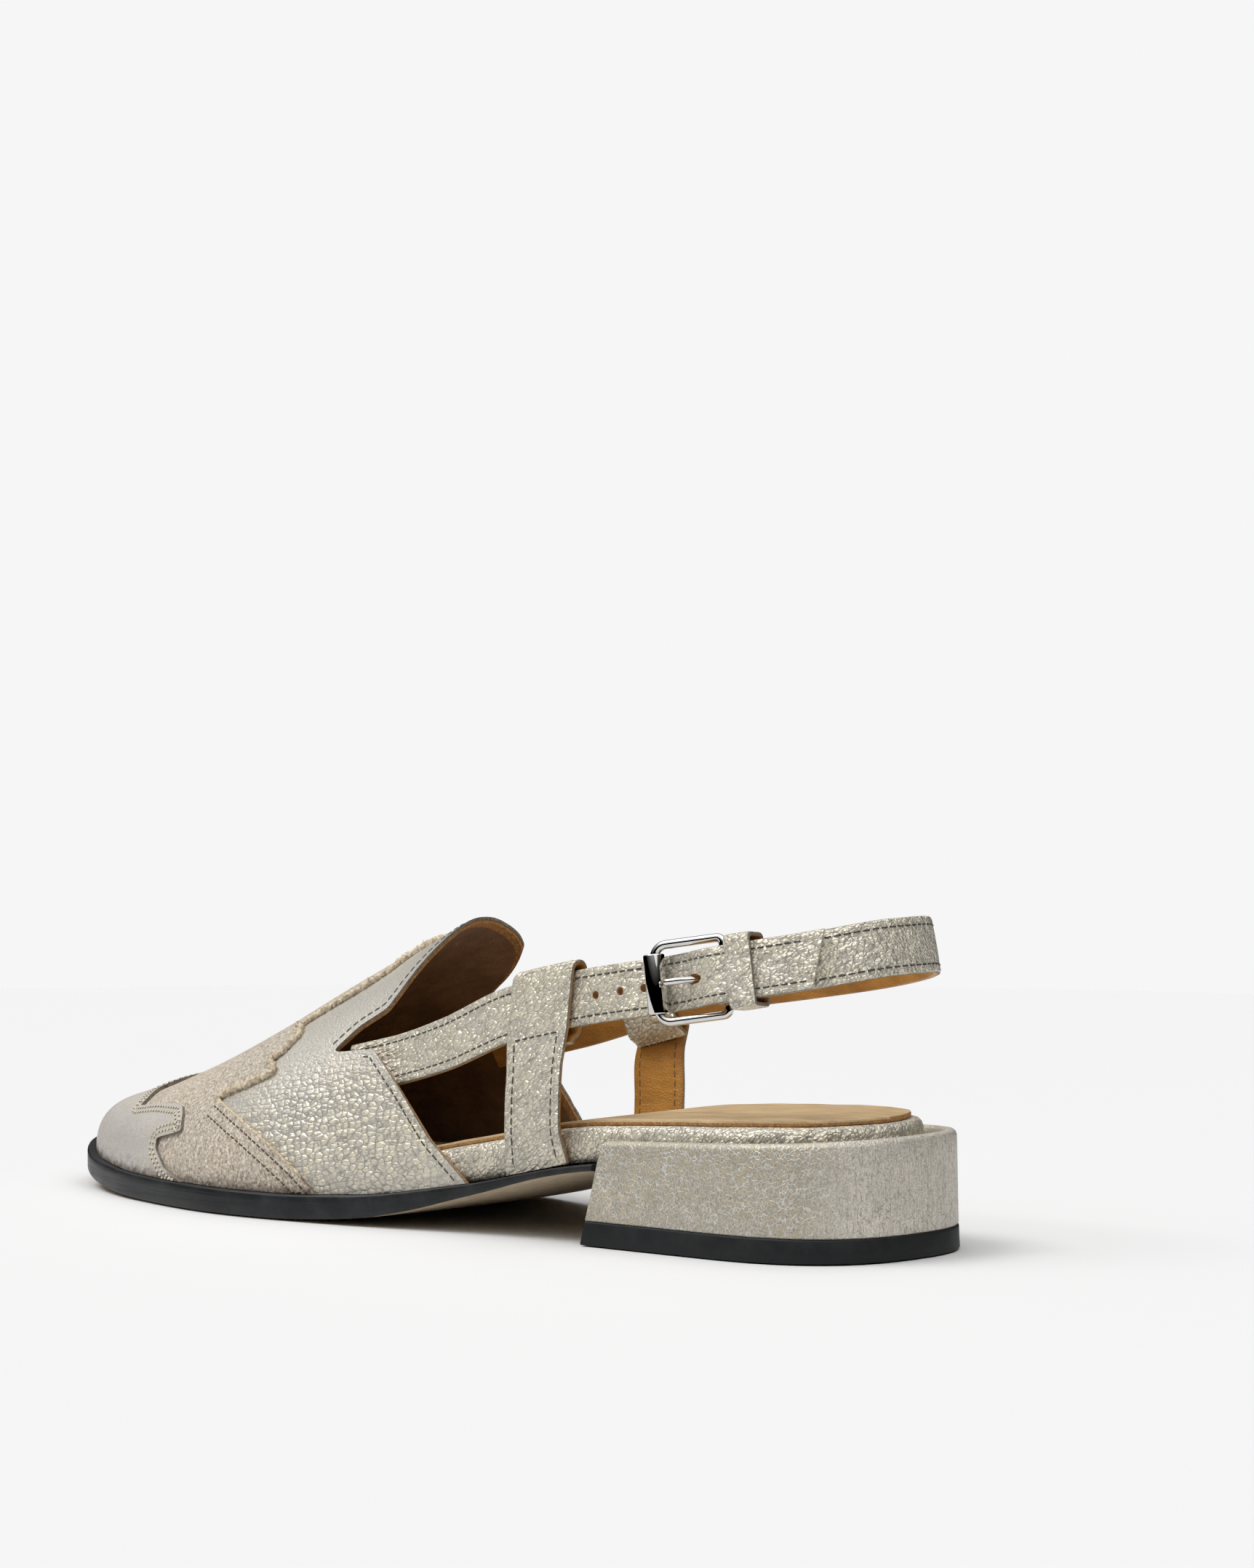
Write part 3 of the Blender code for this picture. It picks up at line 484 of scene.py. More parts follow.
def wire(centres, radii, around, side, closed=False):
    """A round wire along centres; side is a direction that the wire never runs along."""
    count = len(centres)
    along = unit(heading(centres, closed))
    first = unit(np.cross(along, side))
    second = np.cross(along, first)
    last = count if closed else count - 1

    def place(a, b):
        k = step(a, last) % count
        turn = (2 * np.pi * b)[:, None]
        return centres[k] + radii[k][:, None] * (np.cos(turn) * first[k] + np.sin(turn) * second[k])

    return tube(last, around, place)


def lengths_along(points):
    return np.concatenate([[0.0], np.cumsum(np.linalg.norm(np.diff(points, axis=0), axis=1))])


def even(points, count):
    """count points spread evenly along a line of points."""
    lengths = lengths_along(points)
    picks = np.linspace(0, lengths[-1], count)
    return np.column_stack([np.interp(picks, lengths, points[:, k]) for k in range(points.shape[1])])


def smooth_path(points, count):
    """count even points on a smooth curve through a few points."""
    points = np.array(points, float)
    ends = np.vstack([2 * points[0] - points[1], points, 2 * points[-1] - points[-2]])
    fine = []
    for p, q, r, t in zip(ends, ends[1:], ends[2:], ends[3:]):
        for k in np.linspace(0, 1, 24, endpoint=False):
            fine.append(q + 0.5 * k * (r - p + k * (2 * p - 5 * q + 4 * r - t + k * (3 * (q - r) + t - p))))
    return even(np.array(fine + [points[-1]]), count)


def rounded_loop(half_across, half_up, front_corner, rear_corner, grow, steps):
    """(across, up) round a rectangle. grow moves the line out past its rounded corners."""
    points = []
    for quarter, (side, level) in enumerate(((1, 1), (-1, 1), (-1, -1), (1, -1))):
        corner = front_corner if side > 0 else rear_corner
        for k in range(steps + 1):
            turn = math.radians(90 * (quarter + k / steps))
            points.append((side * (half_across - corner) + (corner + grow) * math.cos(turn),
                           level * (half_up - corner) + (corner + grow) * math.sin(turn)))
    return np.array(points)


# Materials.
class Nodes:
    """A small help for wiring one node tree."""

    def __init__(self, tree):
        self.tree = tree

    def put(self, socket, value):
        """Gives a socket an output to follow, a number, or a colour or vector."""
        if isinstance(value, bpy.types.NodeSocket):
            self.tree.links.new(value, socket)
        elif isinstance(value, (int, float)):
            socket.default_value = value
        else:
            socket.default_value = (*value, 1.0)[:len(socket.default_value)]

    def node(self, kind, inputs, output=0, **values):
        """One output of a new node, with its inputs by name or number."""
        made = self.tree.nodes.new(kind)
        for key, value in values.items():
            setattr(made, key, value)
        for socket, value in inputs.items():
            self.put(made.inputs[socket], value)
        return made.outputs[output]

    def sum(self, first, second, operation="ADD"):
        return self.node("ShaderNodeMath", {0: first, 1: second}, operation=operation)

    def times(self, first, second):
        return self.sum(first, second, "MULTIPLY")

    def less(self, first, second):
        return self.sum(first, second, "SUBTRACT")

    def vector(self, operation, *inputs, output="Vector"):
        return self.node("ShaderNodeVectorMath", dict(enumerate(inputs)), output, operation=operation)

    def fit(self, value, low, high):
        """value moved from low..high to 0..1."""
        return self.node("ShaderNodeMapRange", {"Value": value, "From Min": low, "From Max": high}, "Result")


class Shader(Nodes):
    """A small help for building one procedural material."""

    def __init__(self, name, roughness, metallic=0.0, colour=(0.5, 0.5, 0.5)):
        self.material = bpy.data.materials.new(name)
        self.material.use_nodes = True
        super().__init__(self.material.node_tree)
        self.place = self.node("ShaderNodeTexCoord", {}, "Object")
        self.done(colour, roughness, metallic)

    def set(self, socket, value):
        self.put(self.tree.nodes["Principled BSDF"].inputs[socket], value)

    def scaled(self, size, turn=(0.0, 0.0, 0.0)):
        """Object coordinates turned, then measured in a size along each turned axis."""
        inputs = {"Vector": self.place, "Scale": size, "Rotation": turn}
        return self.node("ShaderNodeMapping", inputs, vector_type="TEXTURE")

    def noise(self, vector, scale, detail=2.0, roughness=0.5, output="Fac"):
        inputs = {"Vector": vector, "Scale": scale, "Detail": detail, "Roughness": roughness}
        return self.node("ShaderNodeTexNoise", inputs, output)

    def cells(self, vector, scale, feature="DISTANCE_TO_EDGE", randomness=1.0):
        inputs = {"Vector": vector, "Scale": scale, "Randomness": randomness}
        return self.node("ShaderNodeTexVoronoi", inputs, "Distance", feature=feature)

    def bent(self, vector, scale, amount):
        """vector pushed about by noise, so that cells lose their straight sides."""
        push = self.vector("SUBTRACT", self.noise(vector, scale, output="Color"), (0.5, 0.5, 0.5))
        return self.vector("MULTIPLY_ADD", push, (amount, amount, amount), vector)

    def near(self, centre, size, inner, outer):
        """1 within inner of a centre, fading to 0 at outer, both as shares of size. The two sides mirror."""
        level = self.vector("MULTIPLY", self.place, (1.0, 0.0, 1.0))
        folded = self.vector("MULTIPLY_ADD", self.vector("ABSOLUTE", self.place), (0.0, 1.0, 0.0), level)
        inputs = {"Vector": folded, "Location": metres(centre), "Scale": [v * MM for v in size]}
        away = self.node("ShaderNodeMapping", inputs, vector_type="TEXTURE")
        share = self.fit(self.vector("LENGTH", away, output="Value"), inner, outer)
        return self.ramp(share, ((0.0, 1.0), (1.0, 0.0)))

    def mark(self, name):
        return self.node("ShaderNodeAttribute", {}, "Fac", attribute_name=name)

    def ramp(self, value, stops):
        """Colours or greys at shares of a value, eased between them."""
        colours = self.node("ShaderNodeValToRGB", {"Fac": value}, "Color")
        ramp = colours.node.color_ramp
        ramp.interpolation = "EASE"
        while len(ramp.elements) < len(stops):
            ramp.elements.new(0.5)
        for element, (position, colour) in zip(ramp.elements, stops):
            element.position = position
            element.color = (*colour, 1.0) if isinstance(colour, tuple) else (colour, colour, colour, 1.0)
        return colours

    def mix(self, factor, first, second, blend="MIX"):
        inputs = {"Factor": factor, "A": first, "B": second}
        return self.node("ShaderNodeMix", inputs, "Result", data_type="RGBA", blend_type=blend)

    def bump(self, height, depth):
        """Relief from a height; depth is in mm."""
        return self.node("ShaderNodeBump", {"Height": height, "Distance": depth * MM})

    def done(self, colour=None, roughness=None, metallic=None, normal=None):
        values = {"Base Color": colour, "Roughness": roughness, "Metallic": metallic, "Normal": normal}
        for socket, value in values.items():
            if value is not None:
                self.set(socket, value)
        return self.material


def dusted(s, colour):
    """colour with the brown dust that lies along the foot of the upper, thickest at the toe."""
    speck = s.noise(s.place, 700.0, 3.0, 0.7)
    low = s.ramp(s.fit(s.mark("rise"), 0.0, 7.0), ((0.0, 1.0), (0.35, 0.5), (1.0, 0.0)))
    amount = s.ramp(s.times(low, speck), ((0.12, 0.0), (0.62, 0.9)))
    return s.mix(amount, colour, (0.10, 0.062, 0.04))


def metallic_leather(name, cell, stretch, turn, depth, line, shine, groove_shade, film, peak_tint_and_highlight, creases=0.0,
                     folds=0.0, coarse=None, dust=False):
    """Pebbled leather with a thin metallic film, worn off in the grooves. The grooves are also painted darker
    as painted shade, and the peaks painted lighter and yellower: partly a real yellowish tint, partly painted
    highlight.

    cell is the pebble size in mm, and stretch and turn lengthen the pebbles along a slanted line. depth is
    their relief in mm, and line is the share of a pebble that the darker grooves take. creases adds long bent
    lines painted darker as painted shade, and folds adds soft ridges along the pebbles with painted shade in
    their hollows and painted highlight on their tops. coarse is a place, as centre and size in mm, round
    which the pebbles stand out; elsewhere the grain is fine."""
    s = Shader(name, roughness=shine, metallic=0.6)

    def drawn_out(length):
        return s.scaled((length, 1.0, 1.0), (0.0, turn, 0.0))

    vector = s.bent(drawn_out(stretch), 450.0 / cell, 0.0008 * cell)
    order = 0.68 if coarse else 0.9
    edge = s.cells(vector, 1000.0 / cell, randomness=order)
    ball = s.cells(vector, 1000.0 / cell, "F1", order)
    seed = s.cells(s.bent(vector, 1400.0 / cell, 0.0003 * cell), 2700.0 / cell, "F1")
    fine = s.noise(s.place, 2300.0, 3.0, 0.7)
    mottle = s.noise(s.place, 330.0, 3.0, 0.6)
    patch = s.noise(s.place, 48.0, 3.0, 0.6)
    dome = s.less(1.0, s.times(ball, ball))
    dome = s.sum(dome, s.times(s.ramp(edge, ((0.0, 0.0), (0.3, 1.0))), 0.35))
    grain = s.less(1.0, s.times(seed, seed))
    filled = s.ramp(s.noise(s.place, 520.0, 2.0), ((0.42, 0.0), (0.6, 0.85)))
    # Painted shade: the grooves between the pebbles are painted darker, broken up by noise.
    shade = s.sum(s.ramp(edge, ((0.0, 0.12 if folds else 0.0), (line, 1.0))), filled, "MAXIMUM")
    shade = s.times(shade, s.ramp(seed, ((0.45, 1.0), (0.85, 0.6))))
    # Painted highlight with a real yellowish tint: the pebbles' tops are painted lighter and yellower.
    peak_tint_and_highlight_mask = s.ramp(s.times(mottle, dome), ((0.34, 0.0), (0.66, 1.0)))
    pebble = dome
    if coarse:
        here = s.near(*coarse, 0.3, 1.0)
        pebble = s.times(dome, s.sum(s.times(here, 0.95), 0.05))
        shade = s.mix(s.sum(s.times(here, 0.8), 0.2), (0.86, 0.86, 0.86), shade)
        peak_tint_and_highlight_mask = s.times(peak_tint_and_highlight_mask, here)
    height = s.sum(s.sum(pebble, s.times(grain, 0.28)), s.times(fine, 0.2))
    if folds:
        ridge = s.noise(s.bent(drawn_out(2.4 * stretch), 140.0, 0.0018), 540.0, 2.0, 0.45)
        ridge = s.ramp(ridge, ((0.36, 0.0), (0.62, 1.0)))
        height = s.sum(height, s.times(ridge, folds))
        # Painted shade in the folds' hollows; below, painted highlight on their ridges.
        shade = s.times(shade, s.ramp(ridge, ((0.0, 0.68), (0.5, 1.0))))
        peak_tint_and_highlight_mask = s.sum(peak_tint_and_highlight_mask, s.ramp(ridge, ((0.0, 0.1), (0.7, 0.45))))
    colour = s.mix(shade, groove_shade, s.mix(peak_tint_and_highlight_mask, film, peak_tint_and_highlight))
    if creases:
        crack = s.cells(s.bent(drawn_out(4.0 * stretch), 80.0, 0.004), 260.0)
        crack = s.ramp(crack, ((0.0, 1.0), (0.05, 0.0)))
        if coarse:
            where = s.near(*coarse, 0.3, 0.9)
        else:
            where = s.ramp(s.noise(s.place, 34.0, 1.0), ((0.42, 0.0), (0.66, 1.0)))
        crease = s.times(s.times(crack, where), creases)
        height = s.less(height, crease)
        # Painted shade: the crease lines are painted darker.
        colour = s.mix(crease, colour, tuple(0.6 * v for v in groove_shade))
    speck = s.ramp(fine, ((0.3, 0.82), (0.7, 1.0)))
    tint = s.ramp(patch, ((0.3, (0.93, 0.93, 0.94)), (0.7, (1.0, 0.985, 0.95))))
    colour = s.mix(1.0, s.mix(1.0, colour, tint, "MULTIPLY"), speck, "MULTIPLY")
    if dust:
        colour = dusted(s, colour)
    rough = s.ramp(s.times(shade, fine), ((0.05, 0.6), (0.5, shine)))
    return s.done(colour, rough, s.ramp(shade, ((0.0, 0.1), (0.6, 0.42))), s.bump(height, depth))


def heel_leather():
    """Leather pulled over the heel block: light veins round yellowish cells, upright wrinkles at the back
    painted darker along their lines as painted shade.
    """
    s = Shader("heel_leather", roughness=0.4, metallic=0.42)
    vector = s.bent(s.scaled((1.0, 1.0, 1.4)), 420.0, 0.0009)
    edge = s.cells(vector, 1080.0)
    ball = s.cells(vector, 1080.0, "F1")
    tall = s.cells(s.bent(s.scaled((1.0, 1.0, 2.8)), 300.0, 0.0012), 900.0)
    fine = s.noise(s.place, 2300.0, 3.0, 0.75)
    mottle = s.noise(s.place, 420.0, 3.0, 0.65)
    patch = s.noise(s.place, 60.0, 3.0, 0.6)
    pull = s.noise(s.scaled((0.6 * MM, 0.6 * MM, 4.5 * MM)), 1.0, 3.0, 0.6)
    back = s.near((0.0, 0.0, 14.0), (24.0, 34.0, 60.0), 0.45, 1.0)
    warm = s.ramp(s.less(patch, ball), ((0.0, 0.0), (0.3, 1.0)))
    inside = s.mix(warm, (0.53, 0.48, 0.385), (0.63, 0.54, 0.38))
    vein = s.times(s.ramp(edge, ((0.0, 0.95), (0.12, 0.0))), s.ramp(mottle, ((0.35, 0.5), (0.6, 1.0))))
    side = s.mix(vein, inside, (0.84, 0.83, 0.79))
    rear = s.mix(s.ramp(pull, ((0.35, 0.0), (0.62, 1.0))), (0.78, 0.725, 0.635), (0.88, 0.82, 0.72))
    wrinkle = s.times(s.ramp(tall, ((0.0, 0.6), (0.08, 0.0))), s.ramp(pull, ((0.4, 1.0), (0.62, 0.25))))
    # Painted shade: the upright wrinkles are painted darker along their lines.
    rear = s.mix(wrinkle, rear, (0.36, 0.32, 0.27))
    speck = s.times(s.ramp(fine, ((0.28, 0.62), (0.66, 1.0))), s.ramp(mottle, ((0.3, 0.93), (0.62, 1.03))))
    colour = s.mix(1.0, s.mix(back, side, rear), speck, "MULTIPLY")
    height = s.sum(s.times(vein, 0.5), s.times(fine, 0.5))
    height = s.sum(height, s.times(s.less(pull, wrinkle), back))
    return s.done(colour, s.ramp(fine, ((0.3, 0.55), (0.7, 0.36))), normal=s.bump(height, 0.14))


def suede_nap():
    s = Shader("suede_nap", roughness=0.95)
    s.set("Sheen Weight", 0.3)
    s.set("Sheen Roughness", 0.5)
    s.set("Sheen Tint", (0.9, 0.85, 0.78))
    slanted = s.scaled((1.0, 1.0, 1.6), (0.0, 0.5, 0.0))
    fibre = s.noise(s.bent(slanted, 900.0, 0.0008), 1700.0, 4.0, 0.7)
    tuft = s.noise(s.place, 1250.0, 3.0, 0.65)
    patch = s.noise(s.place, 45.0, 3.0, 0.6)
    nap = s.sum(s.times(fibre, 0.55), s.times(tuft, 0.45))
    stops = ((0.39, (0.30, 0.235, 0.17)), (0.5, (0.64, 0.555, 0.45)), (0.6, (0.97, 0.88, 0.755)))
    colour = s.ramp(nap, stops)
    tint = s.ramp(patch, ((0.3, (0.90, 0.90, 0.91)), (0.7, (1.0, 0.98, 0.94))))
    height = s.sum(fibre, s.times(tuft, 0.8))
    colour = dusted(s, s.mix(1.0, colour, tint, "MULTIPLY"))
    return s.done(colour, normal=s.bump(height, 0.6))


def lining_leather(name, dark, light, shine):
    s = Shader(name, roughness=shine)
    patch = s.noise(s.place, 60.0, 4.0, 0.6)
    pore = s.cells(s.bent(s.place, 900.0, 0.0005), 1500.0)
    crease = s.noise(s.scaled((17.0 * MM, 4.0 * MM, 4.0 * MM)), 1.0, 4.0, 0.6)
    colour = s.mix(s.ramp(pore, ((0.0, 0.8), (0.3, 1.0))), dark, s.ramp(patch, ((0.3, dark), (0.68, light))))
    # Painted shade and highlight: the colour follows the creases' relief, darker in the hollows and lighter
    # on the ridges.
    colour = s.mix(1.0, colour, s.ramp(crease, ((0.36, 0.84), (0.62, 1.06))), "MULTIPLY")
    height = s.sum(s.ramp(pore, ((0.0, 0.0), (0.3, 0.5))), s.times(crease, 2.5))
    rough = s.ramp(patch, ((0.3, shine + 0.1), (0.7, shine - 0.06)))
    return s.done(colour, rough, normal=s.bump(height, 0.12))


def cut_edge(name, dark, light):
    s = Shader(name, roughness=0.8)
    layer = s.noise(s.place, 1400.0, 4.0, 0.7)
    return s.done(s.ramp(layer, ((0.3, dark), (0.7, light))), normal=s.bump(layer, 0.2))


def sole_black():
    s = Shader("sole_black", roughness=0.42)
    s.set("Specular IOR Level", 0.3)
    brushed = s.noise(s.scaled((25.0 * MM, 25.0 * MM, 0.4 * MM)), 1.0, 4.0, 0.6)
    scuff = s.noise(s.place, 130.0, 5.0, 0.7)
    colour = s.ramp(scuff, ((0.35, (0.010, 0.011, 0.012)), (0.75, (0.026, 0.027, 0.029))))
    rough = s.ramp(s.times(brushed, scuff), ((0.1, 0.34), (0.5, 0.55)))
    return s.done(colour, rough, normal=s.bump(s.sum(brushed, scuff), 0.05))


def sole_leather():
    s = Shader("sole_leather", roughness=0.5)
    fibre = s.noise(s.scaled((7.0 * MM, 1.4 * MM, 1.4 * MM)), 1.0, 4.0, 0.6)
    scuff = s.noise(s.place, 90.0, 5.0, 0.65)
    clean = s.ramp(fibre, ((0.3, (0.42, 0.33, 0.22)), (0.7, (0.56, 0.46, 0.33))))
    colour = s.mix(s.ramp(scuff, ((0.35, 0.0), (0.8, 0.6))), clean, (0.36, 0.28, 0.19))
    return s.done(colour, s.ramp(scuff, ((0.3, 0.45), (0.7, 0.65))), normal=s.bump(fibre, 0.08))


def heel_rubber():
    s = Shader("heel_rubber", roughness=0.55)
    s.set("Specular IOR Level", 0.3)
    grain = s.noise(s.place, 1500.0, 3.0)
    scuff = s.noise(s.place, 120.0, 5.0, 0.7)
    colour = s.ramp(scuff, ((0.35, (0.007, 0.008, 0.009)), (0.8, (0.02, 0.021, 0.022))))
    return s.done(colour, s.ramp(scuff, ((0.3, 0.48), (0.75, 0.68))), normal=s.bump(grain, 0.04))


def nickel():
    s = Shader("nickel", roughness=0.12, metallic=1.0, colour=(0.74, 0.73, 0.71))
    smear = s.noise(s.place, 260.0, 4.0, 0.6)
    colour = s.ramp(smear, ((0.3, (0.60, 0.59, 0.57)), (0.7, (0.70, 0.69, 0.67))))
    return s.done(colour, s.ramp(smear, ((0.3, 0.03), (0.75, 0.1))), normal=s.bump(smear, 0.01))


def thread(name, dark, light):
    s = Shader(name, roughness=0.75)
    twist = s.noise(s.place, 3200.0, 2.0)
    return s.done(s.ramp(twist, ((0.35, dark), (0.7, light))), normal=s.bump(twist, 0.1))


# Painted highlight with a real yellowish tint: the colour of the pebbles' tops.
PEAK_TINT_AND_HIGHLIGHT = (0.98, 0.91, 0.735)
STRAP_FILM = (0.96, 0.91, 0.80)
VAMP_LEATHER = metallic_leather(
    "vamp_leather", cell=1.35, stretch=1.5, turn=0.2, depth=0.26, line=0.1, shine=0.36,
    groove_shade=(0.34, 0.315, 0.27), film=(0.745, 0.71, 0.635), peak_tint_and_highlight=PEAK_TINT_AND_HIGHLIGHT, creases=0.15,
    coarse=((143.0, 34.0, 20.0), (50.0, 46.0, 23.0)))
WRAP_LEATHER = metallic_leather(
    "wrap_leather", cell=0.95, stretch=1.7, turn=0.8, depth=0.2, line=0.11, shine=0.3,
    groove_shade=(0.24, 0.222, 0.185), film=STRAP_FILM, peak_tint_and_highlight=PEAK_TINT_AND_HIGHLIGHT, creases=0.2, folds=1.2)
STRAP_LEATHER = metallic_leather(
    "strap_leather", cell=0.95, stretch=1.9, turn=0.55, depth=0.34, line=0.12, shine=0.31,
    groove_shade=(0.40, 0.37, 0.31), film=STRAP_FILM, peak_tint_and_highlight=PEAK_TINT_AND_HIGHLIGHT, creases=0.15, folds=1.5)
CAP_LEATHER = metallic_leather(
    "cap_leather", cell=0.8, stretch=1.0, turn=0.0, depth=0.04, line=0.12, shine=0.42,
    groove_shade=(0.62, 0.585, 0.54), film=(0.80, 0.76, 0.70), peak_tint_and_highlight=(0.86, 0.81, 0.72), dust=True)
HEEL_LEATHER = heel_leather()
SUEDE_NAP = suede_nap()
TAN_LINING = lining_leather("tan_lining", (0.325, 0.14, 0.026), (0.54, 0.26, 0.054), 0.45)
SOCK_LEATHER = lining_leather("sock_leather", (0.54, 0.375, 0.195), (0.68, 0.50, 0.29), 0.5)
# Painted shade: a darker copy of the tan lining, for the inside of the vamp where shade falls.
SHADED_VAMP_LINING = lining_leather("shaded_vamp_lining", (0.15, 0.075, 0.034), (0.25, 0.135, 0.062), 0.6)
GREY_EDGE = cut_edge("grey_edge", (0.12, 0.105, 0.085), (0.30, 0.27, 0.22))
BROWN_EDGE = cut_edge("brown_edge", (0.24, 0.11, 0.035), (0.52, 0.27, 0.09))
SUEDE_EDGE_CUT = cut_edge("suede_cut_edge", (0.09, 0.065, 0.04), (0.27, 0.21, 0.15))
RAW_SUEDE = cut_edge("raw_suede", (0.40, 0.31, 0.20), (0.84, 0.73, 0.56))
SOLE_BLACK = sole_black()
SOLE_LEATHER = sole_leather()
HEEL_RUBBER = heel_rubber()
NICKEL = nickel()
GREY_THREAD = thread("grey_thread", (0.045, 0.04, 0.032), (0.13, 0.115, 0.09))
BEIGE_THREAD = thread("beige_thread", (0.50, 0.44, 0.33), (0.80, 0.72, 0.55))
TAN_THREAD = thread("tan_thread", (0.12, 0.055, 0.02), (0.26, 0.13, 0.045))
SUEDE_THREAD = thread("suede_thread", (0.05, 0.04, 0.03), (0.16, 0.125, 0.095))
# Painted shade: near-black for the needle holes, where the thread dips in.
NEEDLE_HOLE_SHADE = cut_edge("needle_hole_shade", (0.012, 0.010, 0.008), (0.03, 0.024, 0.018))
# Painted shade: darker gaps where the toe cap's thread dips between stitches.
CORD_GAP_SHADE = cut_edge("cord_gap_shade", (0.09, 0.075, 0.055), (0.22, 0.19, 0.145))


# The sole, the heel and the insole.
SOLE_EDGE = (
    # inset from the ledge, share of the edge's thickness, drop in mm
    (7.0, 0.0, 0.0), (0.6, 0.0, 0.0), (0.18, 0.0, 0.14), (0.0, 0.0, 0.5), (0.0, 0.35, 0.0), (0.0, 0.7, 0.0),
    (0.0, 1.0, -0.45), (0.16, 1.0, -0.12), (0.55, 1.0, 0.0),
)
SOLE_UNDER = (0.93, 0.85, 0.7, 0.5, 0.25, 0.0, -0.25, -0.5, -0.7, -0.85, -0.93)
SOLE_GLUE = 0.12


def make_outsole():
    first = outline_share(SOLE_BACK)
    edge_rows = [(1, 1, *row) for row in SOLE_EDGE]
    ring = edge_rows + [(across, 0, 0.0, 1.0, 0.0) for across in SOLE_UNDER]
    ring += [(-1, *row[1:]) for row in reversed(edge_rows)]
    sides, edged, insets, levels, drops = np.array(ring, float).T
    count = len(ring)
    low, high = len(SOLE_EDGE) - 1, len(SOLE_EDGE) + len(SOLE_UNDER)

    def place(a, b):
        share = first + (1 - first) * a
        j = step(b, count) % count
        x = outline_x(share)
        ledge = column(LEDGE, 1, x) - insets[j]
        outer, inner = (np.stack(outline_point(share, side, ledge), -1) for side in (1, -1))
        middle = (outer + inner) / 2 + sides[j][:, None] * (outer - inner) / 2
        edge, thick = column(SOLE_SECTIONS, 1, x), column(SOLE_SECTIONS, 2, x)
        rounded = edge + (thick - edge) * (1 - np.abs(sides[j]) ** SOLE_ROUNDNESS)
        depth = np.where(edged[j] > 0, edge * levels[j], rounded)
        z = feather(middle[:, 0]) - SOLE_GLUE - depth - drops[j]
        return np.column_stack([middle, np.maximum(z, 0.0)])

    def paint(a, b):
        return 1 if low <= int(b * count) < high else 0

    piece("sole", tube(150, count, place, paint), [SOLE_BLACK, SOLE_LEATHER], "black_sole", "outsole")


HEEL_COLUMNS = 200
HEEL_LEVELS = np.array((
    # share of the way up to the rim, inset, drop in mm
    (0.0, 0.55, 0.0), (0.0, 0.28, 0.35), (0.25, 0.4, 0.0), (0.5, 0.5, 0.0), (0.75, 0.6, 0.0),
    (1.0, 0.7, -1.5), (1.0, 0.95, -0.7), (1.0, 1.5, -0.15), (1.0, 2.3, 0.0), (1.0, 3.0, -0.2),
    (1.0, 3.5, -0.9), (1.0, 3.7, -3.0), (1.0, 3.7, -5.0),
))
LIFT_LEVELS = np.array((
    # z, inset
    (0.0, 0.8), (0.12, 0.25), (0.5, 0.0), (2.5, 0.1), (TOP_PIECE - 0.5, 0.2), (TOP_PIECE - 0.12, 0.3),
    (TOP_PIECE, 0.6),
))
COVER_LOW = TOP_PIECE + 0.06


def heel_loop(b, inset, front):
    """(x, y) round the heel: from the outer front corner over the back to the inner one, then across."""
    share = np.where(b >= 1, 0.0, np.minimum(b * HEEL_COLUMNS / (HEEL_COLUMNS - 1), 1.0))
    wide = HEEL_HALF_WIDTH - inset
    turn = np.pi * np.clip((share - HEEL_SIDE_SHARE) / (1 - 2 * HEEL_SIDE_SHARE), 0, 1)
    power = 2 / HEEL_SQUARENESS
    across = np.cos(turn)
    x = HEEL_BEND - (HEEL_BEND - inset) * np.abs(np.sin(turn)) ** power
    y = wide * np.sign(across) * np.abs(across) ** power
    ahead = np.minimum(share, 1 - share) / HEEL_SIDE_SHARE
    x = np.where(ahead < 1, front + (HEEL_BEND - front) * ahead, x)
    return x, np.where(ahead < 1, wide * np.sign(0.5 - share), y)


def rim_height(x):
    return HEEL_RIM_BACK + (HEEL_RIM_FRONT - HEEL_RIM_BACK) * x / HEEL_FRONT_HIGH


def heel_front(z):
    return HEEL_FRONT_LOW + (HEEL_FRONT_HIGH - HEEL_FRONT_LOW) * z / HEEL_RIM_FRONT


def heel_cover(a, b):
    share, inset, drop = HEEL_LEVELS[step(a, len(HEEL_LEVELS) - 1)].T
    lip = np.maximum(inset - 0.7, 0) * 0.6
    x, y = heel_loop(b, inset, heel_front(COVER_LOW + share * (HEEL_RIM_FRONT - COVER_LOW)) - lip)
    return np.stack([x, y, COVER_LOW + share * (rim_height(x) - COVER_LOW) + drop], -1)


def heel_lift(a, b):
    z, inset = LIFT_LEVELS[step(a, len(LIFT_LEVELS) - 1)].T
    return np.stack([*heel_loop(b, inset, heel_front(z)), z], -1)


def make_heel():
    bm = tube(len(HEEL_LEVELS) - 1, HEEL_COLUMNS, heel_cover)
    piece("heel_cover", bm, [HEEL_LEATHER], "metallic_leather", "heel", sharp=60)
    bm = tube(len(LIFT_LEVELS) - 1, HEEL_COLUMNS, heel_lift)
    piece("heel_lift", bm, [HEEL_RUBBER], "black_rubber", "top_piece", sharp=60)


def insole_top(x):
    return feather(x) + column(INSOLE_SECTIONS, 1, x)


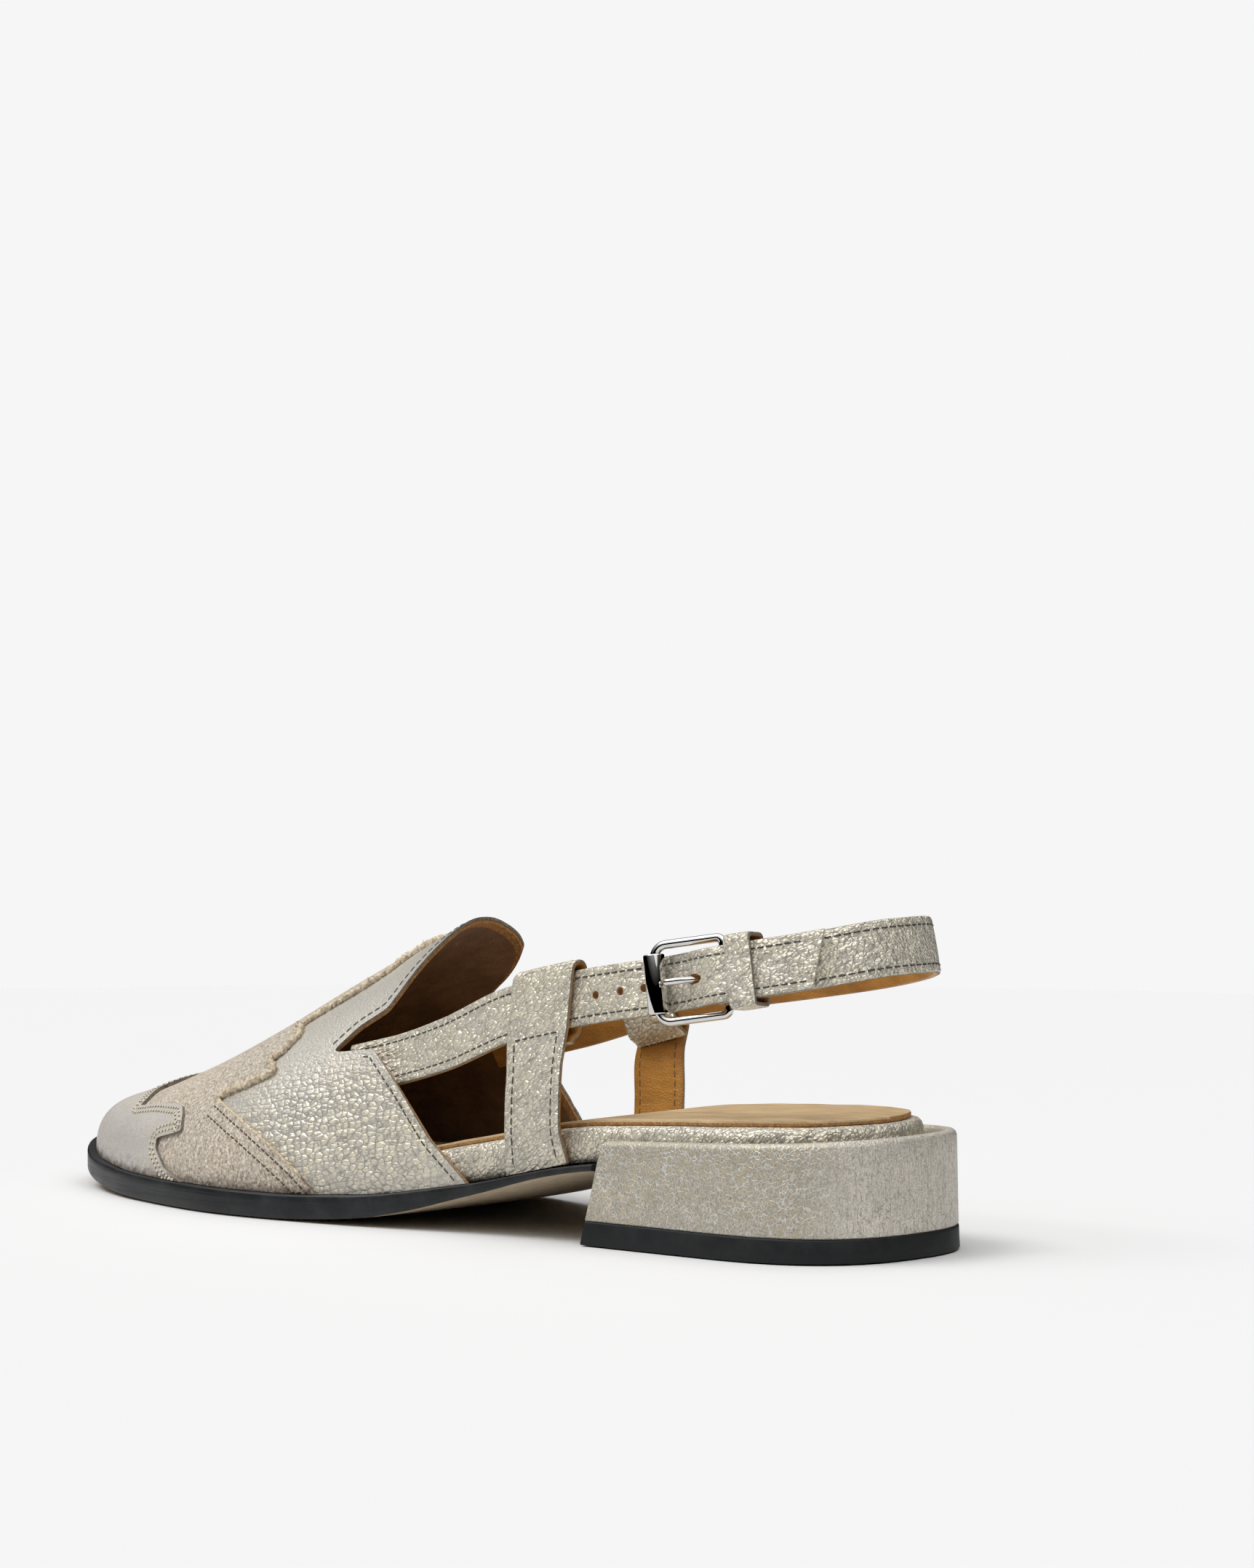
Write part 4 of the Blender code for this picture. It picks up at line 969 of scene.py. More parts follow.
def board(rows, ring, end, height, wobble, wrinkle, paint=None):
    """A board on the last's outline. ring rows are inset and level up the edge; wobble waves the edge about
    and wrinkle puckers it."""
    sides = np.repeat((1, -1), len(ring))
    table = np.array(ring + ring[::-1])
    last = outline_share(end)
    count = len(table)

    def place(a, b):
        share = last * a
        j = step(b, count) % count
        inset, level = table[j].T
        x = outline_x(share)
        inset = inset + column(INSOLE_SECTIONS, 2, x) + wobble * wave(x / 6.0 + 40 * sides[j], 1.0)
        outer, inner = (outline_point(share, side, -inset) for side in (1, -1))
        px, py = np.where(sides[j] > 0, outer, inner)
        low, high = height(px)
        pucker = wrinkle * wave(x / 1.1 + 5 * level, 3.0) * wave(x / 14.0 + 9 * sides[j], 4.0)
        swell = wobble * 0.5 * wave(x / 9.0 + 25 * sides[j], 2.0) + pucker * (level < 0.99)
        return np.stack([px, py, low + (high - low) * level + swell * level], -1)

    return tube(rows, count, place, paint)


INSOLE_RING = (
    # inset, level up the edge
    (2.5, 0.0), (0.7, 0.05), (0.15, 0.17), (0.0, 0.34), (0.0, 0.55), (0.12, 0.72), (0.45, 0.86), (1.1, 0.95),
    (2.3, 1.0), (6.0, 1.0),
)
SOCK_RING = ((3.4, 0.0), (2.9, 0.1), (2.85, 0.6), (3.05, 0.92), (3.5, 1.0), (9.0, 1.05))
SOCK_FACE = (2.5 / 12, 8.5 / 12)  # shares round the ring between which the face shows, not the cut edge


def insole_height(x):
    return feather(x), insole_top(x)


def sock_height(x):
    low = insole_top(x) + 0.02
    return low, low + SOCK_THICKNESS + 0.2


def sock_paint(a, b):
    return 0 if SOCK_FACE[0] <= b <= SOCK_FACE[1] else 1


def make_insole():
    bm = board(420, INSOLE_RING, TOE_TIP, insole_height, 0.12, 0.22)
    piece("insole_cover", bm, [WRAP_LEATHER], "metallic_leather", "insole")
    bm = board(300, SOCK_RING, SOCK_FRONT, sock_height, 0.3, 0.0, sock_paint)
    piece("sock_sheet", bm, [SOCK_LEATHER, BROWN_EDGE], "tan_leather", "sock")


# The upper with its overlays.
CREASES = (
    # x at the toe end and at the heel end, angle at each, bow, depth in mm, half width in mm
    (176.0, 126.0, 19.6, 16.6, 0.9, 0.24, 1.0),
    (182.0, 124.0, 16.2, 13.6, 0.6, 0.21, 0.9),
    (168.0, 130.0, 23.2, 20.4, 0.8, 0.18, 1.0),
    (174.0, 121.0, 12.4, 10.6, 0.5, 0.17, 0.9),
    (160.0, 140.0, 27.2, 25.0, 0.4, 0.13, 1.0),
    (172.0, 124.0, 164.0, 166.5, -0.8, 0.23, 1.0),
    (178.0, 128.0, 160.4, 163.0, -0.6, 0.20, 0.9),
    (166.0, 132.0, 156.8, 159.0, -0.6, 0.17, 1.0),
)
DEGREE = 0.68  # mm across the upper for each degree of angle, at the creased sides


def crease_depth(x, angle):
    """How far the soft creases of the sides sink the surface, with a low ridge along each."""
    total = np.zeros(np.broadcast(x, angle).shape)
    for toe, heel, toe_angle, heel_angle, bow, depth, width in CREASES:
        share = (toe - x) / (toe - heel)
        fade = np.clip(4 * share * (1 - share), 0, 1) ** 0.5 * ((share > 0) & (share < 1))
        bowed = toe_angle + (heel_angle - toe_angle) * share + bow * 4 * share * (1 - share)
        away = (angle - bowed - 0.5 * wave(x / 4, toe)) * DEGREE / width
        total += fade * depth * (1 - 0.6 * away**2) * np.exp(-0.5 * away**2)
    return total


def patch(line, front, gathered, creased=False):
    """place(a, b, grow) for a sheet on the upper from front, or the toe's tip, to the edge line.

    gathered draws the rows together at the front."""

    def place(a, b, grow):
        angle = 180 * b
        tip = TOE_TIP + grow if front is None else front
        share = 1 - np.cos(a * np.pi / 2) if gathered else a
        x = tip - (tip - np.interp(angle, ANGLES, line)) * share
        sunk = crease_depth(x, angle) if creased and grow == WALL else 0.0
        return upper_point(x, angle, grow - sunk)

    return place


RIM_TURN = 0.7


def make_upper():
    bm = wall(120, 390, patch(THROAT, None, True, creased=True), LEATHER_FACES, 2)
    piece("upper_leather", bm, [SHADED_VAMP_LINING, VAMP_LEATHER, GREY_EDGE], "metallic_leather", "upper")
    bm = wall(90, 240, patch(THROAT + 0.15, None, True), LINING_FACES, 2)
    for face in bm.faces:
        if face.material_index == 0 and any(edge.calc_face_angle(0.0) > RIM_TURN for edge in face.edges):
            face.material_index = 2
    piece("upper_lining", bm, [SHADED_VAMP_LINING, SHADED_VAMP_LINING, BROWN_EDGE], "tan_leather")
    bm = wall(60, 260, patch(SUEDE_LINE, SUEDE_FRONT, False), SUEDE_FACES, 2)
    piece("suede_overlay", bm, [SUEDE_EDGE_CUT, SUEDE_NAP, SUEDE_EDGE_CUT], "suede", "suede_wing")
    make_raw_edge()
    bm = wall(60, 260, patch(CAP_LINE, None, True), CAP_FACES, 2)
    piece("toe_cap_leather", bm, [GREY_EDGE, CAP_LEATHER, GREY_EDGE], "metallic_leather", "toe_cap")


RAW_EDGE_RADIUS = 0.85
RAW_EDGE_ENDS = (4.0, 176.0)
RAW_EDGE_THICKNESS = (
    # angle, share of the radius: thick along the scallops, thin along the sewn sides
    (29.5, 0.5), (31.5, 1.0), (148.5, 1.0), (150.5, 0.5),
)
RAW_EDGE_STEPS = 1800
RAW_EDGE_TURNS = 9
TUFT_STEPS = 4
TAPER_STEPS = 12


def make_raw_edge():
    """The torn edge of the suede, as tufts of loose fibre."""
    angles = np.linspace(*RAW_EDGE_ENDS, 2500)
    x = np.interp(angles, ANGLES, SUEDE_LINE)
    low, high = (upper_point(x, angles, WALL + grow) for grow in (0.5, 1.5))
    line = even(np.column_stack([low, high, angles]), RAW_EDGE_STEPS)
    centres, normals = line[:, :3], unit(line[:, 3:6] - line[:, :3])
    thick = np.interp(line[:, 6], *np.array(RAW_EDGE_THICKNESS).T)
    sides = unit(np.cross(unit(np.gradient(centres, axis=0)), normals))
    rng = np.random.default_rng(7)
    tufts = rng.random((RAW_EDGE_STEPS // TUFT_STEPS + 2, RAW_EDGE_TURNS)) ** 1.5
    spots = np.arange(RAW_EDGE_STEPS) / TUFT_STEPS
    fluff = np.column_stack([np.interp(spots, np.arange(len(tufts)), tuft) for tuft in tufts.T])
    fluff = thick[:, None] * (0.5 + 0.9 * fluff + 0.3 * rng.random(fluff.shape))
    fluff *= 1 + 0.8 * (rng.random(fluff.shape) > 0.985)
    from_end = np.minimum(np.arange(RAW_EDGE_STEPS), np.arange(RAW_EDGE_STEPS)[::-1])
    taper = 0.25 + 0.75 * np.minimum(1.0, from_end / TAPER_STEPS)

    def place(a, b):
        k, j = step(a, RAW_EDGE_STEPS - 1), step(b, RAW_EDGE_TURNS) % RAW_EDGE_TURNS
        radius = (RAW_EDGE_RADIUS * fluff[k, j] * taper[k])[:, None]
        turn = (2 * np.pi * j / RAW_EDGE_TURNS)[:, None]
        return centres[k] + radius * (np.cos(turn) * sides[k] + np.sin(turn) * normals[k])

    bm = tube(RAW_EDGE_STEPS - 1, RAW_EDGE_TURNS, place)
    piece("suede_raw_edge", bm, [RAW_SUEDE], "suede", sharp=180)


# The ankle strap and the side straps.
ROUTE = [(length, *row) for length, row in zip(lengths_along(np.array(BAND_ROUTE)[:, :3]), BAND_ROUTE)]
ROUTE_END = ROUTE[-1][0]
ROUTE_BACK = ROUTE[len(ROUTE) // 2][0]


def route_point(s):
    return np.stack([column(ROUTE, k, s) for k in (1, 2, 3)], -1)


def band_frame(s):
    """The ankle strap's middle, direction, outward and upward at length s along it."""
    inside = np.clip(s, 0.5, ROUTE_END - 0.5)
    along = unit(route_point(inside + 0.5) - route_point(inside - 0.5))
    out = unit(np.cross(along, (0.0, 0.0, 1.0)))
    up = np.cross(out, along)
    lean = np.radians(column(ROUTE, 4, s))[..., None]
    cosine, sine = np.cos(lean), np.sin(lean)
    return route_point(s), along, out * cosine + up * sine, up * cosine - out * sine


def band_point(s, out, up):
    middle, _, outward, upward = band_frame(np.asarray(s, float))
    return middle + outward * np.asarray(out, float)[..., None] + upward * np.asarray(up, float)[..., None]


OUTER_LENGTHS = np.linspace(0.0, ROUTE_BACK, 600)
OUTER_X = column(ROUTE, 1, OUTER_LENGTHS)
INNER_LENGTHS = np.linspace(ROUTE_BACK, ROUTE_END, 600)
INNER_X = column(ROUTE, 1, INNER_LENGTHS)


def outer_length(x):
    return float(np.interp(-x, -OUTER_X, OUTER_LENGTHS))


def inner_length(x):
    return float(np.interp(x, INNER_X, INNER_LENGTHS))


HINGE = outer_length(HINGE_X)
ROLLER = outer_length(ROLLER_X)
BUCKLE_OUT, BUCKLE_UP = band_frame(np.array(HINGE))[2:]
STITCH_IN = 0.70
STRAP_PROFILE = (
    # across, through, material up to the next row: 0 face leather, 1 cut edge, 2 lining
    (-0.985, 0.72, 0), (-0.93, 0.93, 0), (-0.82, 1.02, 0), (-0.70, 0.90, 0), (-0.58, 1.02, 0),
    (-0.3, 1.06, 0), (0.0, 1.07, 0), (0.3, 1.06, 0), (0.58, 1.02, 0), (0.70, 0.90, 0), (0.82, 1.02, 0),
    (0.93, 0.93, 0), (0.985, 0.72, 1), (1.0, 0.4, 1), (1.0, 0.0, 2), (0.995, -0.5, 2), (0.95, -0.92, 2),
    (0.7, -1.0, 2), (0.3, -1.0, 2), (-0.3, -1.0, 2), (-0.7, -1.0, 2), (-0.95, -0.92, 2), (-0.995, -0.5, 2),
    (-1.0, 0.0, 1), (-1.0, 0.4, 1),
)
KEEPER_PROFILE = (
    # across, through, material up to the next row
    (-1.0, 0.6, 0), (-0.94, 0.95, 0), (-0.5, 1.03, 0), (0.0, 1.05, 0), (0.5, 1.03, 0), (0.94, 0.95, 0),
    (1.0, 0.6, 1), (1.0, -0.8, 2), (0.9, -1.0, 2), (0.0, -1.0, 2), (-0.9, -1.0, 2), (-1.0, -0.8, 1),
)
STRAP_MATERIALS = [STRAP_LEATHER, GREY_EDGE, TAN_LINING, BROWN_EDGE]
HOLE_WALL = 3
DRILL_LENGTH = 8.0


def strap_lines():
    """Lengths along the front strap, with its distance out and the slant of its cut tip at each."""
    tip = outer_length(STRAP_TIP)
    lengths = np.linspace(0.0, tip, 150)
    lift = column(STRAP_LIFT, 1, column(ROUTE, 1, lengths))
    slant = STRAP_TIP_SLANT * BAND_HALF_WIDTH * (lengths / tip) ** STRAP_TIP_SHARPNESS
    return lengths, lift, slant


def cut_holes(obj, cutters):
    """Cuts the closed shapes of a bmesh out of a piece."""
    for face in cutters.faces:
        face.material_index = HOLE_WALL
    drill = add_mesh("strap_drill", cutters, obj.data.materials)
    cut = obj.modifiers.new("holes", "BOOLEAN")
    cut.solver = "EXACT"
    cut.object = drill
    ready = obj.evaluated_get(bpy.context.evaluated_depsgraph_get())
    obj.data = bpy.data.meshes.new_from_object(ready)
    obj.modifiers.clear()
    bpy.data.objects.remove(drill)


def make_strap():
    lengths, lift, slant = strap_lines()
    top = band_point(lengths + slant, lift, np.full_like(lift, BAND_HALF_WIDTH))
    bottom = band_point(lengths - slant, lift, np.full_like(lift, -BAND_HALF_WIDTH))
    halves = np.full(len(lengths), BAND_HALF_THICKNESS)
    bm = ribbon((top + bottom) / 2, (top - bottom) / 2, halves, STRAP_PROFILE)
    strap = piece("ankle_strap", bm, STRAP_MATERIALS, "metallic_leather", "strap_lateral")
    drills = bmesh.new()
    holes = [(outer_length(x), STRAP_HOLE_RADIUS, 1.0) for x in STRAP_HOLES]
    holes.append((HINGE - PRONG_HOLE_FORWARD, PRONG_HOLE_RADIUS, 1 + PRONG_HOLE_HALF / PRONG_HOLE_RADIUS))
    for s, radius, longer in holes:
        middle, along, out, up = (Vector(v) for v in band_frame(np.array(s)))
        turn = Matrix((along * longer, up, out)).transposed().to_4x4()
        place = Matrix.Translation(Vector(metres(middle))) @ turn
        bmesh.ops.create_cone(drills, cap_ends=True, segments=24, radius1=radius * MM, radius2=radius * MM,
                              depth=DRILL_LENGTH * MM, matrix=place)
    bmesh.ops.recalc_face_normals(drills, faces=drills.faces)
    cut_holes(strap, drills)


def make_sling():
    fold = smooth_path([(HINGE + back, out, half) for back, out, half in SLING_FOLD], 50)
    lengths = np.linspace(HINGE + FOLD_BACK, ROUTE_END, 190)[1:]
    rest = np.column_stack([lengths, np.zeros_like(lengths), np.full_like(lengths, BAND_HALF_THICKNESS)])
    path = np.vstack([fold, rest])
    centres = band_point(path[:, 0], path[:, 1], np.zeros(len(path)))
    sides = band_frame(path[:, 0])[3] * BAND_HALF_WIDTH
    bm = ribbon(centres, sides, path[:, 2], STRAP_PROFILE)
    piece("sling_strap", bm, STRAP_MATERIALS, "metallic_leather", "sling")


def t_strap_line(s, lean, tail, half_widths):
    """The side strap's middle line and half across, from its foot's width to its upright's and its loop's."""
    foot, upright, looped = half_widths
    out, up = np.array(T_LOOP).T
    loop = band_point(s + lean * up, out, up)
    centres = smooth_path(np.vstack([tail, loop]), 110)
    top = loop[0][2]
    heights = [tail[0][2], tail[0][2] + T_FOOT, top - T_WIDENING, top]
    halves = np.interp(centres[:, 2], heights, [foot, upright, upright, looped])
    halves[np.argmax(centres[:, 2] > top):] = looped
    return centres, -band_frame(np.array(s))[1] * halves[:, None]


def make_t_strap(name, node, *strap):
    centres, sides = t_strap_line(*strap)
    bm = ribbon(centres, sides, np.full(len(centres), T_HALF_THICKNESS), STRAP_PROFILE)
    piece(name, bm, STRAP_MATERIALS, "metallic_leather", node)


OUTER_SIDE_STRAP = outer_length(T_LATERAL_X), T_LATERAL_LEAN, T_LATERAL_TAIL, T_LATERAL_HALF_WIDTHS
INNER_SIDE_STRAP = inner_length(T_MEDIAL_X), T_MEDIAL_LEAN, T_MEDIAL_TAIL, T_MEDIAL_HALF_WIDTHS


def make_keeper():
    centre = outer_length(KEEPER_X)
    half_out, half_up = (KEEPER_SPAN[1] - KEEPER_SPAN[0]) / 2, BAND_HALF_WIDTH + KEEPER_SLACK
    corners = rounded_loop(half_out, half_up, KEEPER_ROUND, KEEPER_ROUND, KEEPER_THICKNESS / 2, 8)
    out, up = even(np.vstack([corners, corners[:1]]), 121)[:-1].T
    low, middle, high = (
        band_point(np.full(len(out), centre + side * KEEPER_HALF_LENGTH), sum(KEEPER_SPAN) / 2 + out, up)
        for side in (-1, 0, 1))
    halves = np.full(len(out), KEEPER_THICKNESS / 2)
    bm = ribbon((low + high + 2 * middle) / 4, (low - high) / 2, halves, KEEPER_PROFILE, closed=True)
    piece("strap_keeper", bm, STRAP_MATERIALS, "metallic_leather", "keeper")


# The buckle.
def frame_point(share, up):
    start = band_point(HINGE, HINGE_OUT, up)
    return start + (band_point(ROLLER, ROLLER_OUT, up) - start) * share


ROLLER_PROFILE = np.array((
    # radius, share of the half length
    (ROLLER_BORE, -1.0), (ROLLER_RADIUS - 0.25, -1.0), (ROLLER_RADIUS - 0.06, -0.988),
    (ROLLER_RADIUS, -0.955), (ROLLER_RADIUS, 0.0), (ROLLER_RADIUS, 0.955),
    (ROLLER_RADIUS - 0.06, 0.988), (ROLLER_RADIUS - 0.25, 1.0), (ROLLER_BORE, 1.0),
))
PRONG_TIP = (0.3, 0.75, 0.95, 1.0)


def make_buckle():
    across = frame_point(1.0, 0.0) - frame_point(0.0, 0.0)
    length = float(np.linalg.norm(across))
    loop = rounded_loop(length / 2, FRAME_HALF_HEIGHT, FRAME_FRONT_CORNER, FRAME_REAR_CORNER, 0.0, 12)
    centres = np.array([frame_point(0.5 + along / length, up) for along, up in loop])
    radii = np.full(len(centres), WIRE_RADIUS)
    bm = wire(centres, radii, 20, np.cross(unit(across), BUCKLE_UP), closed=True)
    piece("buckle_wire", bm, [NICKEL], "chrome", "buckle_frame")

    axis = unit(frame_point(1.0, 1.0) - frame_point(1.0, -1.0))
    first = unit(np.cross(axis, BUCKLE_OUT))
    second = np.cross(axis, first)
    count = len(ROLLER_PROFILE)

    def roller(a, b):
        radius, side = ROLLER_PROFILE[step(b, count) % count].T
        turn = (2 * np.pi * a)[:, None]
        middle = frame_point(1.0, 0.0) + (side * ROLLER_HALF_LENGTH)[:, None] * axis
        return middle + radius[:, None] * (np.cos(turn) * first + np.sin(turn) * second)

    piece("buckle_tube", tube(48, count, roller), [NICKEL], "chrome", "buckle_roller", sharp=60)
    prong = smooth_path([(HINGE - forward, out, radius) for forward, out, radius in PRONG_PATH], 70)
    radii = prong[:, 2] * np.interp(np.arange(len(prong))[::-1], range(len(PRONG_TIP)), PRONG_TIP)
    bm = wire(band_point(prong[:, 0], prong[:, 1], np.zeros(len(prong))), radii, 20, BUCKLE_UP)
    piece("buckle_pin", bm, [NICKEL], "chrome", "buckle_prong")


# Stitches.
STITCH_STEPS = (
    # share along one stitch, thickness, rise above the surface
    (0.0, 0.8, -1.6), (0.14, 1.2, -0.7), (0.24, 1.0, 0.1), (0.5, 1.0, 0.3), (0.76, 1.0, 0.1),
    (0.86, 1.2, -0.7), (0.99, 0.8, -1.6),
)
THREAD_STEPS = (2, 3)
SPOTS = 40
THREAD_TURNS = 6


def sew(bm, points, normals, pitch, thick):
    """Stitches along a line of points: threads, material 0, that dip into needle holes, material 1, which is
    painted shade.
    """
    count = max(int(lengths_along(points)[-1] / pitch), 1)
    steps = len(STITCH_STEPS)
    line = even(np.hstack([points, normals]), SPOTS * count + 1)
    shares, thickness, rises = np.array(STITCH_STEPS).T

    def place(a, b):
        k = step(a, steps * count)
        spot = np.clip(step(k // steps + shares[k % steps], SPOTS), 1, SPOTS * count - 1)
        along = unit(line[spot + 1, :3] - line[spot - 1, :3])
        normal = unit(line[spot, 3:])
        side = unit(np.cross(normal, along))
        turn = (2 * np.pi * b)[:, None]
        radius = (thick * thickness[k % steps])[:, None]
        middle = line[spot, :3] + (thick * rises[k % steps])[:, None] * normal
        return middle + radius * (np.cos(turn) * side + 0.8 * np.sin(turn) * normal)

    def paint(a, b):
        return 0 if int(a * steps * count) % steps in THREAD_STEPS else 1

    grid(bm, steps * count, THREAD_TURNS, place, paint)


def on_upper(x, angle, grow):
    """Surface points and outward normals of the upper."""
    points = upper_point(x, angle, grow)
    normals = unit(upper_point(x, angle, grow + 0.2) - points)
    return points, normals


def edge_row(line, start, end, inset, grow):
    """A row of points that runs inset from an overlay's edge, between two angles."""
    angles = np.linspace(start, end, 500)
    x = np.interp(angles, ANGLES, line)
    rim = upper_point(x, angles, grow)
    ahead = upper_point(x + 0.5, angles, grow)
    along = unit(np.gradient(rim, axis=0))
    forward = unit(ahead - rim)
    inward = unit(forward - along * (forward * along).sum(-1)[:, None])
    target = rim + inward * inset
    # The target lies a little off the surface: its x is kept, and the angle is moved until the row fits it.
    x = target[:, 0]
    for _ in range(12):
        here = upper_point(x, angles, grow)
        slope = (upper_point(x, angles + 0.2, grow) - here) / 0.2
        miss = ((target - here) * slope).sum(-1) / np.maximum((slope**2).sum(-1), 1e-6)
        angles = np.clip(angles + 0.7 * miss, 0.3, 179.7)
    keep = np.diff(lengths_along(upper_point(x, angles, grow)), prepend=-1.0) > 1e-3
    return on_upper(x[keep], angles[keep], grow)


THREAD = 0.2
CAP_THREAD = 0.32
STRAP_PITCH = 2.2
EDGE_STITCHES = (
    # name, edge, face, insets from the edge, spans in degrees, pitch, thread, materials, slot
    ("cap_stitches", CAP_LINE, CAP_FACES[1], (1.2, 2.6), ((1.0, 179.0),), 1.5, CAP_THREAD,
     [BEIGE_THREAD, CORD_GAP_SHADE], "metallic_leather"),
    ("suede_stitches", SUEDE_LINE, SUEDE_FACES[1], (1.6, 4.4), ((1.0, 30.5), (149.5, 179.0)), 1.8, THREAD,
     [SUEDE_THREAD, NEEDLE_HOLE_SHADE], "suede"),
    ("upper_stitches", THROAT, WALL, (1.9,), ((1.5, 34.0), (37.6, 142.0), (146.0, 178.5)), STRAP_PITCH,
     THREAD, [GREY_THREAD, NEEDLE_HOLE_SHADE], "metallic_leather"),
)
SLING_SEAM = (HINGE + 6.0, ROUTE_END - 4.0)
SEAM_LEVEL = 0.92
T_SEAM_LEVEL = 0.9
T_STITCH_IN = 0.72
T_ROW_RISE = 0.08
T_ROW_STEPS = 60
T_FACE_ROW = -BAND_HALF_WIDTH - 1.2
T_LINING_ROW = -BAND_HALF_WIDTH - 4.6


def make_edge_stitches():
    for name, line, grow, insets, spans, pitch, thick, materials, slot in EDGE_STITCHES:
        bm = bmesh.new()
        for inset in insets:
            for start, end in spans:
                sew(bm, *edge_row(line, start, end, inset, grow), pitch, thick)
        piece(name, bm, materials, slot)


def t_strap_stitches(bm, way, row):
    """Two upright rows and one row across on each side strap's outer face, way 1, or lining face, way -1."""
    for strap in (OUTER_SIDE_STRAP, INNER_SIDE_STRAP):
        centres, side = t_strap_line(*strap)
        normals = way * unit(np.cross(np.gradient(centres, axis=0), side))
        top = np.argmax(centres[:, 2] > band_point(strap[0], 0.0, row)[2])
        face = centres + T_SEAM_LEVEL * T_HALF_THICKNESS * normals
        for edge in (1, -1):
            sew(bm, (face + edge * T_STITCH_IN * side)[3:top], normals[3:top], STRAP_PITCH, THREAD)
        share = np.linspace(-T_STITCH_IN, T_STITCH_IN, T_ROW_STEPS)[:, None]
        across = face[top] + T_ROW_RISE * normals[top] + share * side[top]
        sew(bm, across, np.tile(normals[top], (T_ROW_STEPS, 1)), STRAP_PITCH, THREAD)


def band_stitches(bm, lengths, out):
    """Two rows along the ankle strap's outer face, at a distance out from its middle line."""
    outward = band_frame(lengths)[2]
    for side in (1, -1):
        up = np.full_like(lengths, side * STITCH_IN * BAND_HALF_WIDTH)
        sew(bm, band_point(lengths, out + SEAM_LEVEL * BAND_HALF_THICKNESS, up), outward, STRAP_PITCH, THREAD)


def make_strap_stitches():
    bm = bmesh.new()
    lengths, lift = strap_lines()[:2]
    band_stitches(bm, lengths[2:-3], lift[2:-3])
    band_stitches(bm, np.linspace(*SLING_SEAM, 240), 0.0)
    t_strap_stitches(bm, 1, T_FACE_ROW)
    piece("strap_stitches", bm, [GREY_THREAD, NEEDLE_HOLE_SHADE], "metallic_leather")
    bm = bmesh.new()
    t_strap_stitches(bm, -1, T_LINING_ROW)
    piece("lining_stitches", bm, [TAN_THREAD, NEEDLE_HOLE_SHADE], "tan_leather")


# The room: floor, light and camera.
FLOOR_RADIUS = 0.7
FLOOR_DROP = 0.0002


def make_floor():
    s = Shader("pale_floor", roughness=0.85, colour=(0.747, 0.747, 0.747))
    mottle = s.noise(s.place, 3.0, 2.0)
    material = s.done(s.ramp(mottle, ((0.3, (0.745, 0.745, 0.745)), (0.7, (0.749, 0.749, 0.749)))))
    bm = bmesh.new()
    bmesh.ops.create_circle(bm, cap_ends=True, segments=96, radius=FLOOR_RADIUS)
    floor = add_mesh("floor", bm, [material])
    floor.location.z = -FLOOR_DROP


BACKDROP = 0.922
LAMPS = (
    # name, where it shines from, spread in degrees, power
    ("broad_lamp", (0.38, 0.42, 0.86), 30.0, 1.25),
    ("fill_lamp", (-0.72, 0.35, 0.9), 45.0, 0.4),
)
GLOW_FROM = (0.05, 0.1, 1.0)
ROOM_GLOW = (
    # share of the way from straight below to the glow's middle, brightness
    (0.0, 0.03), (0.67, 0.03), (0.78, 0.4), (0.88, 1.2), (1.0, 1.5),
)


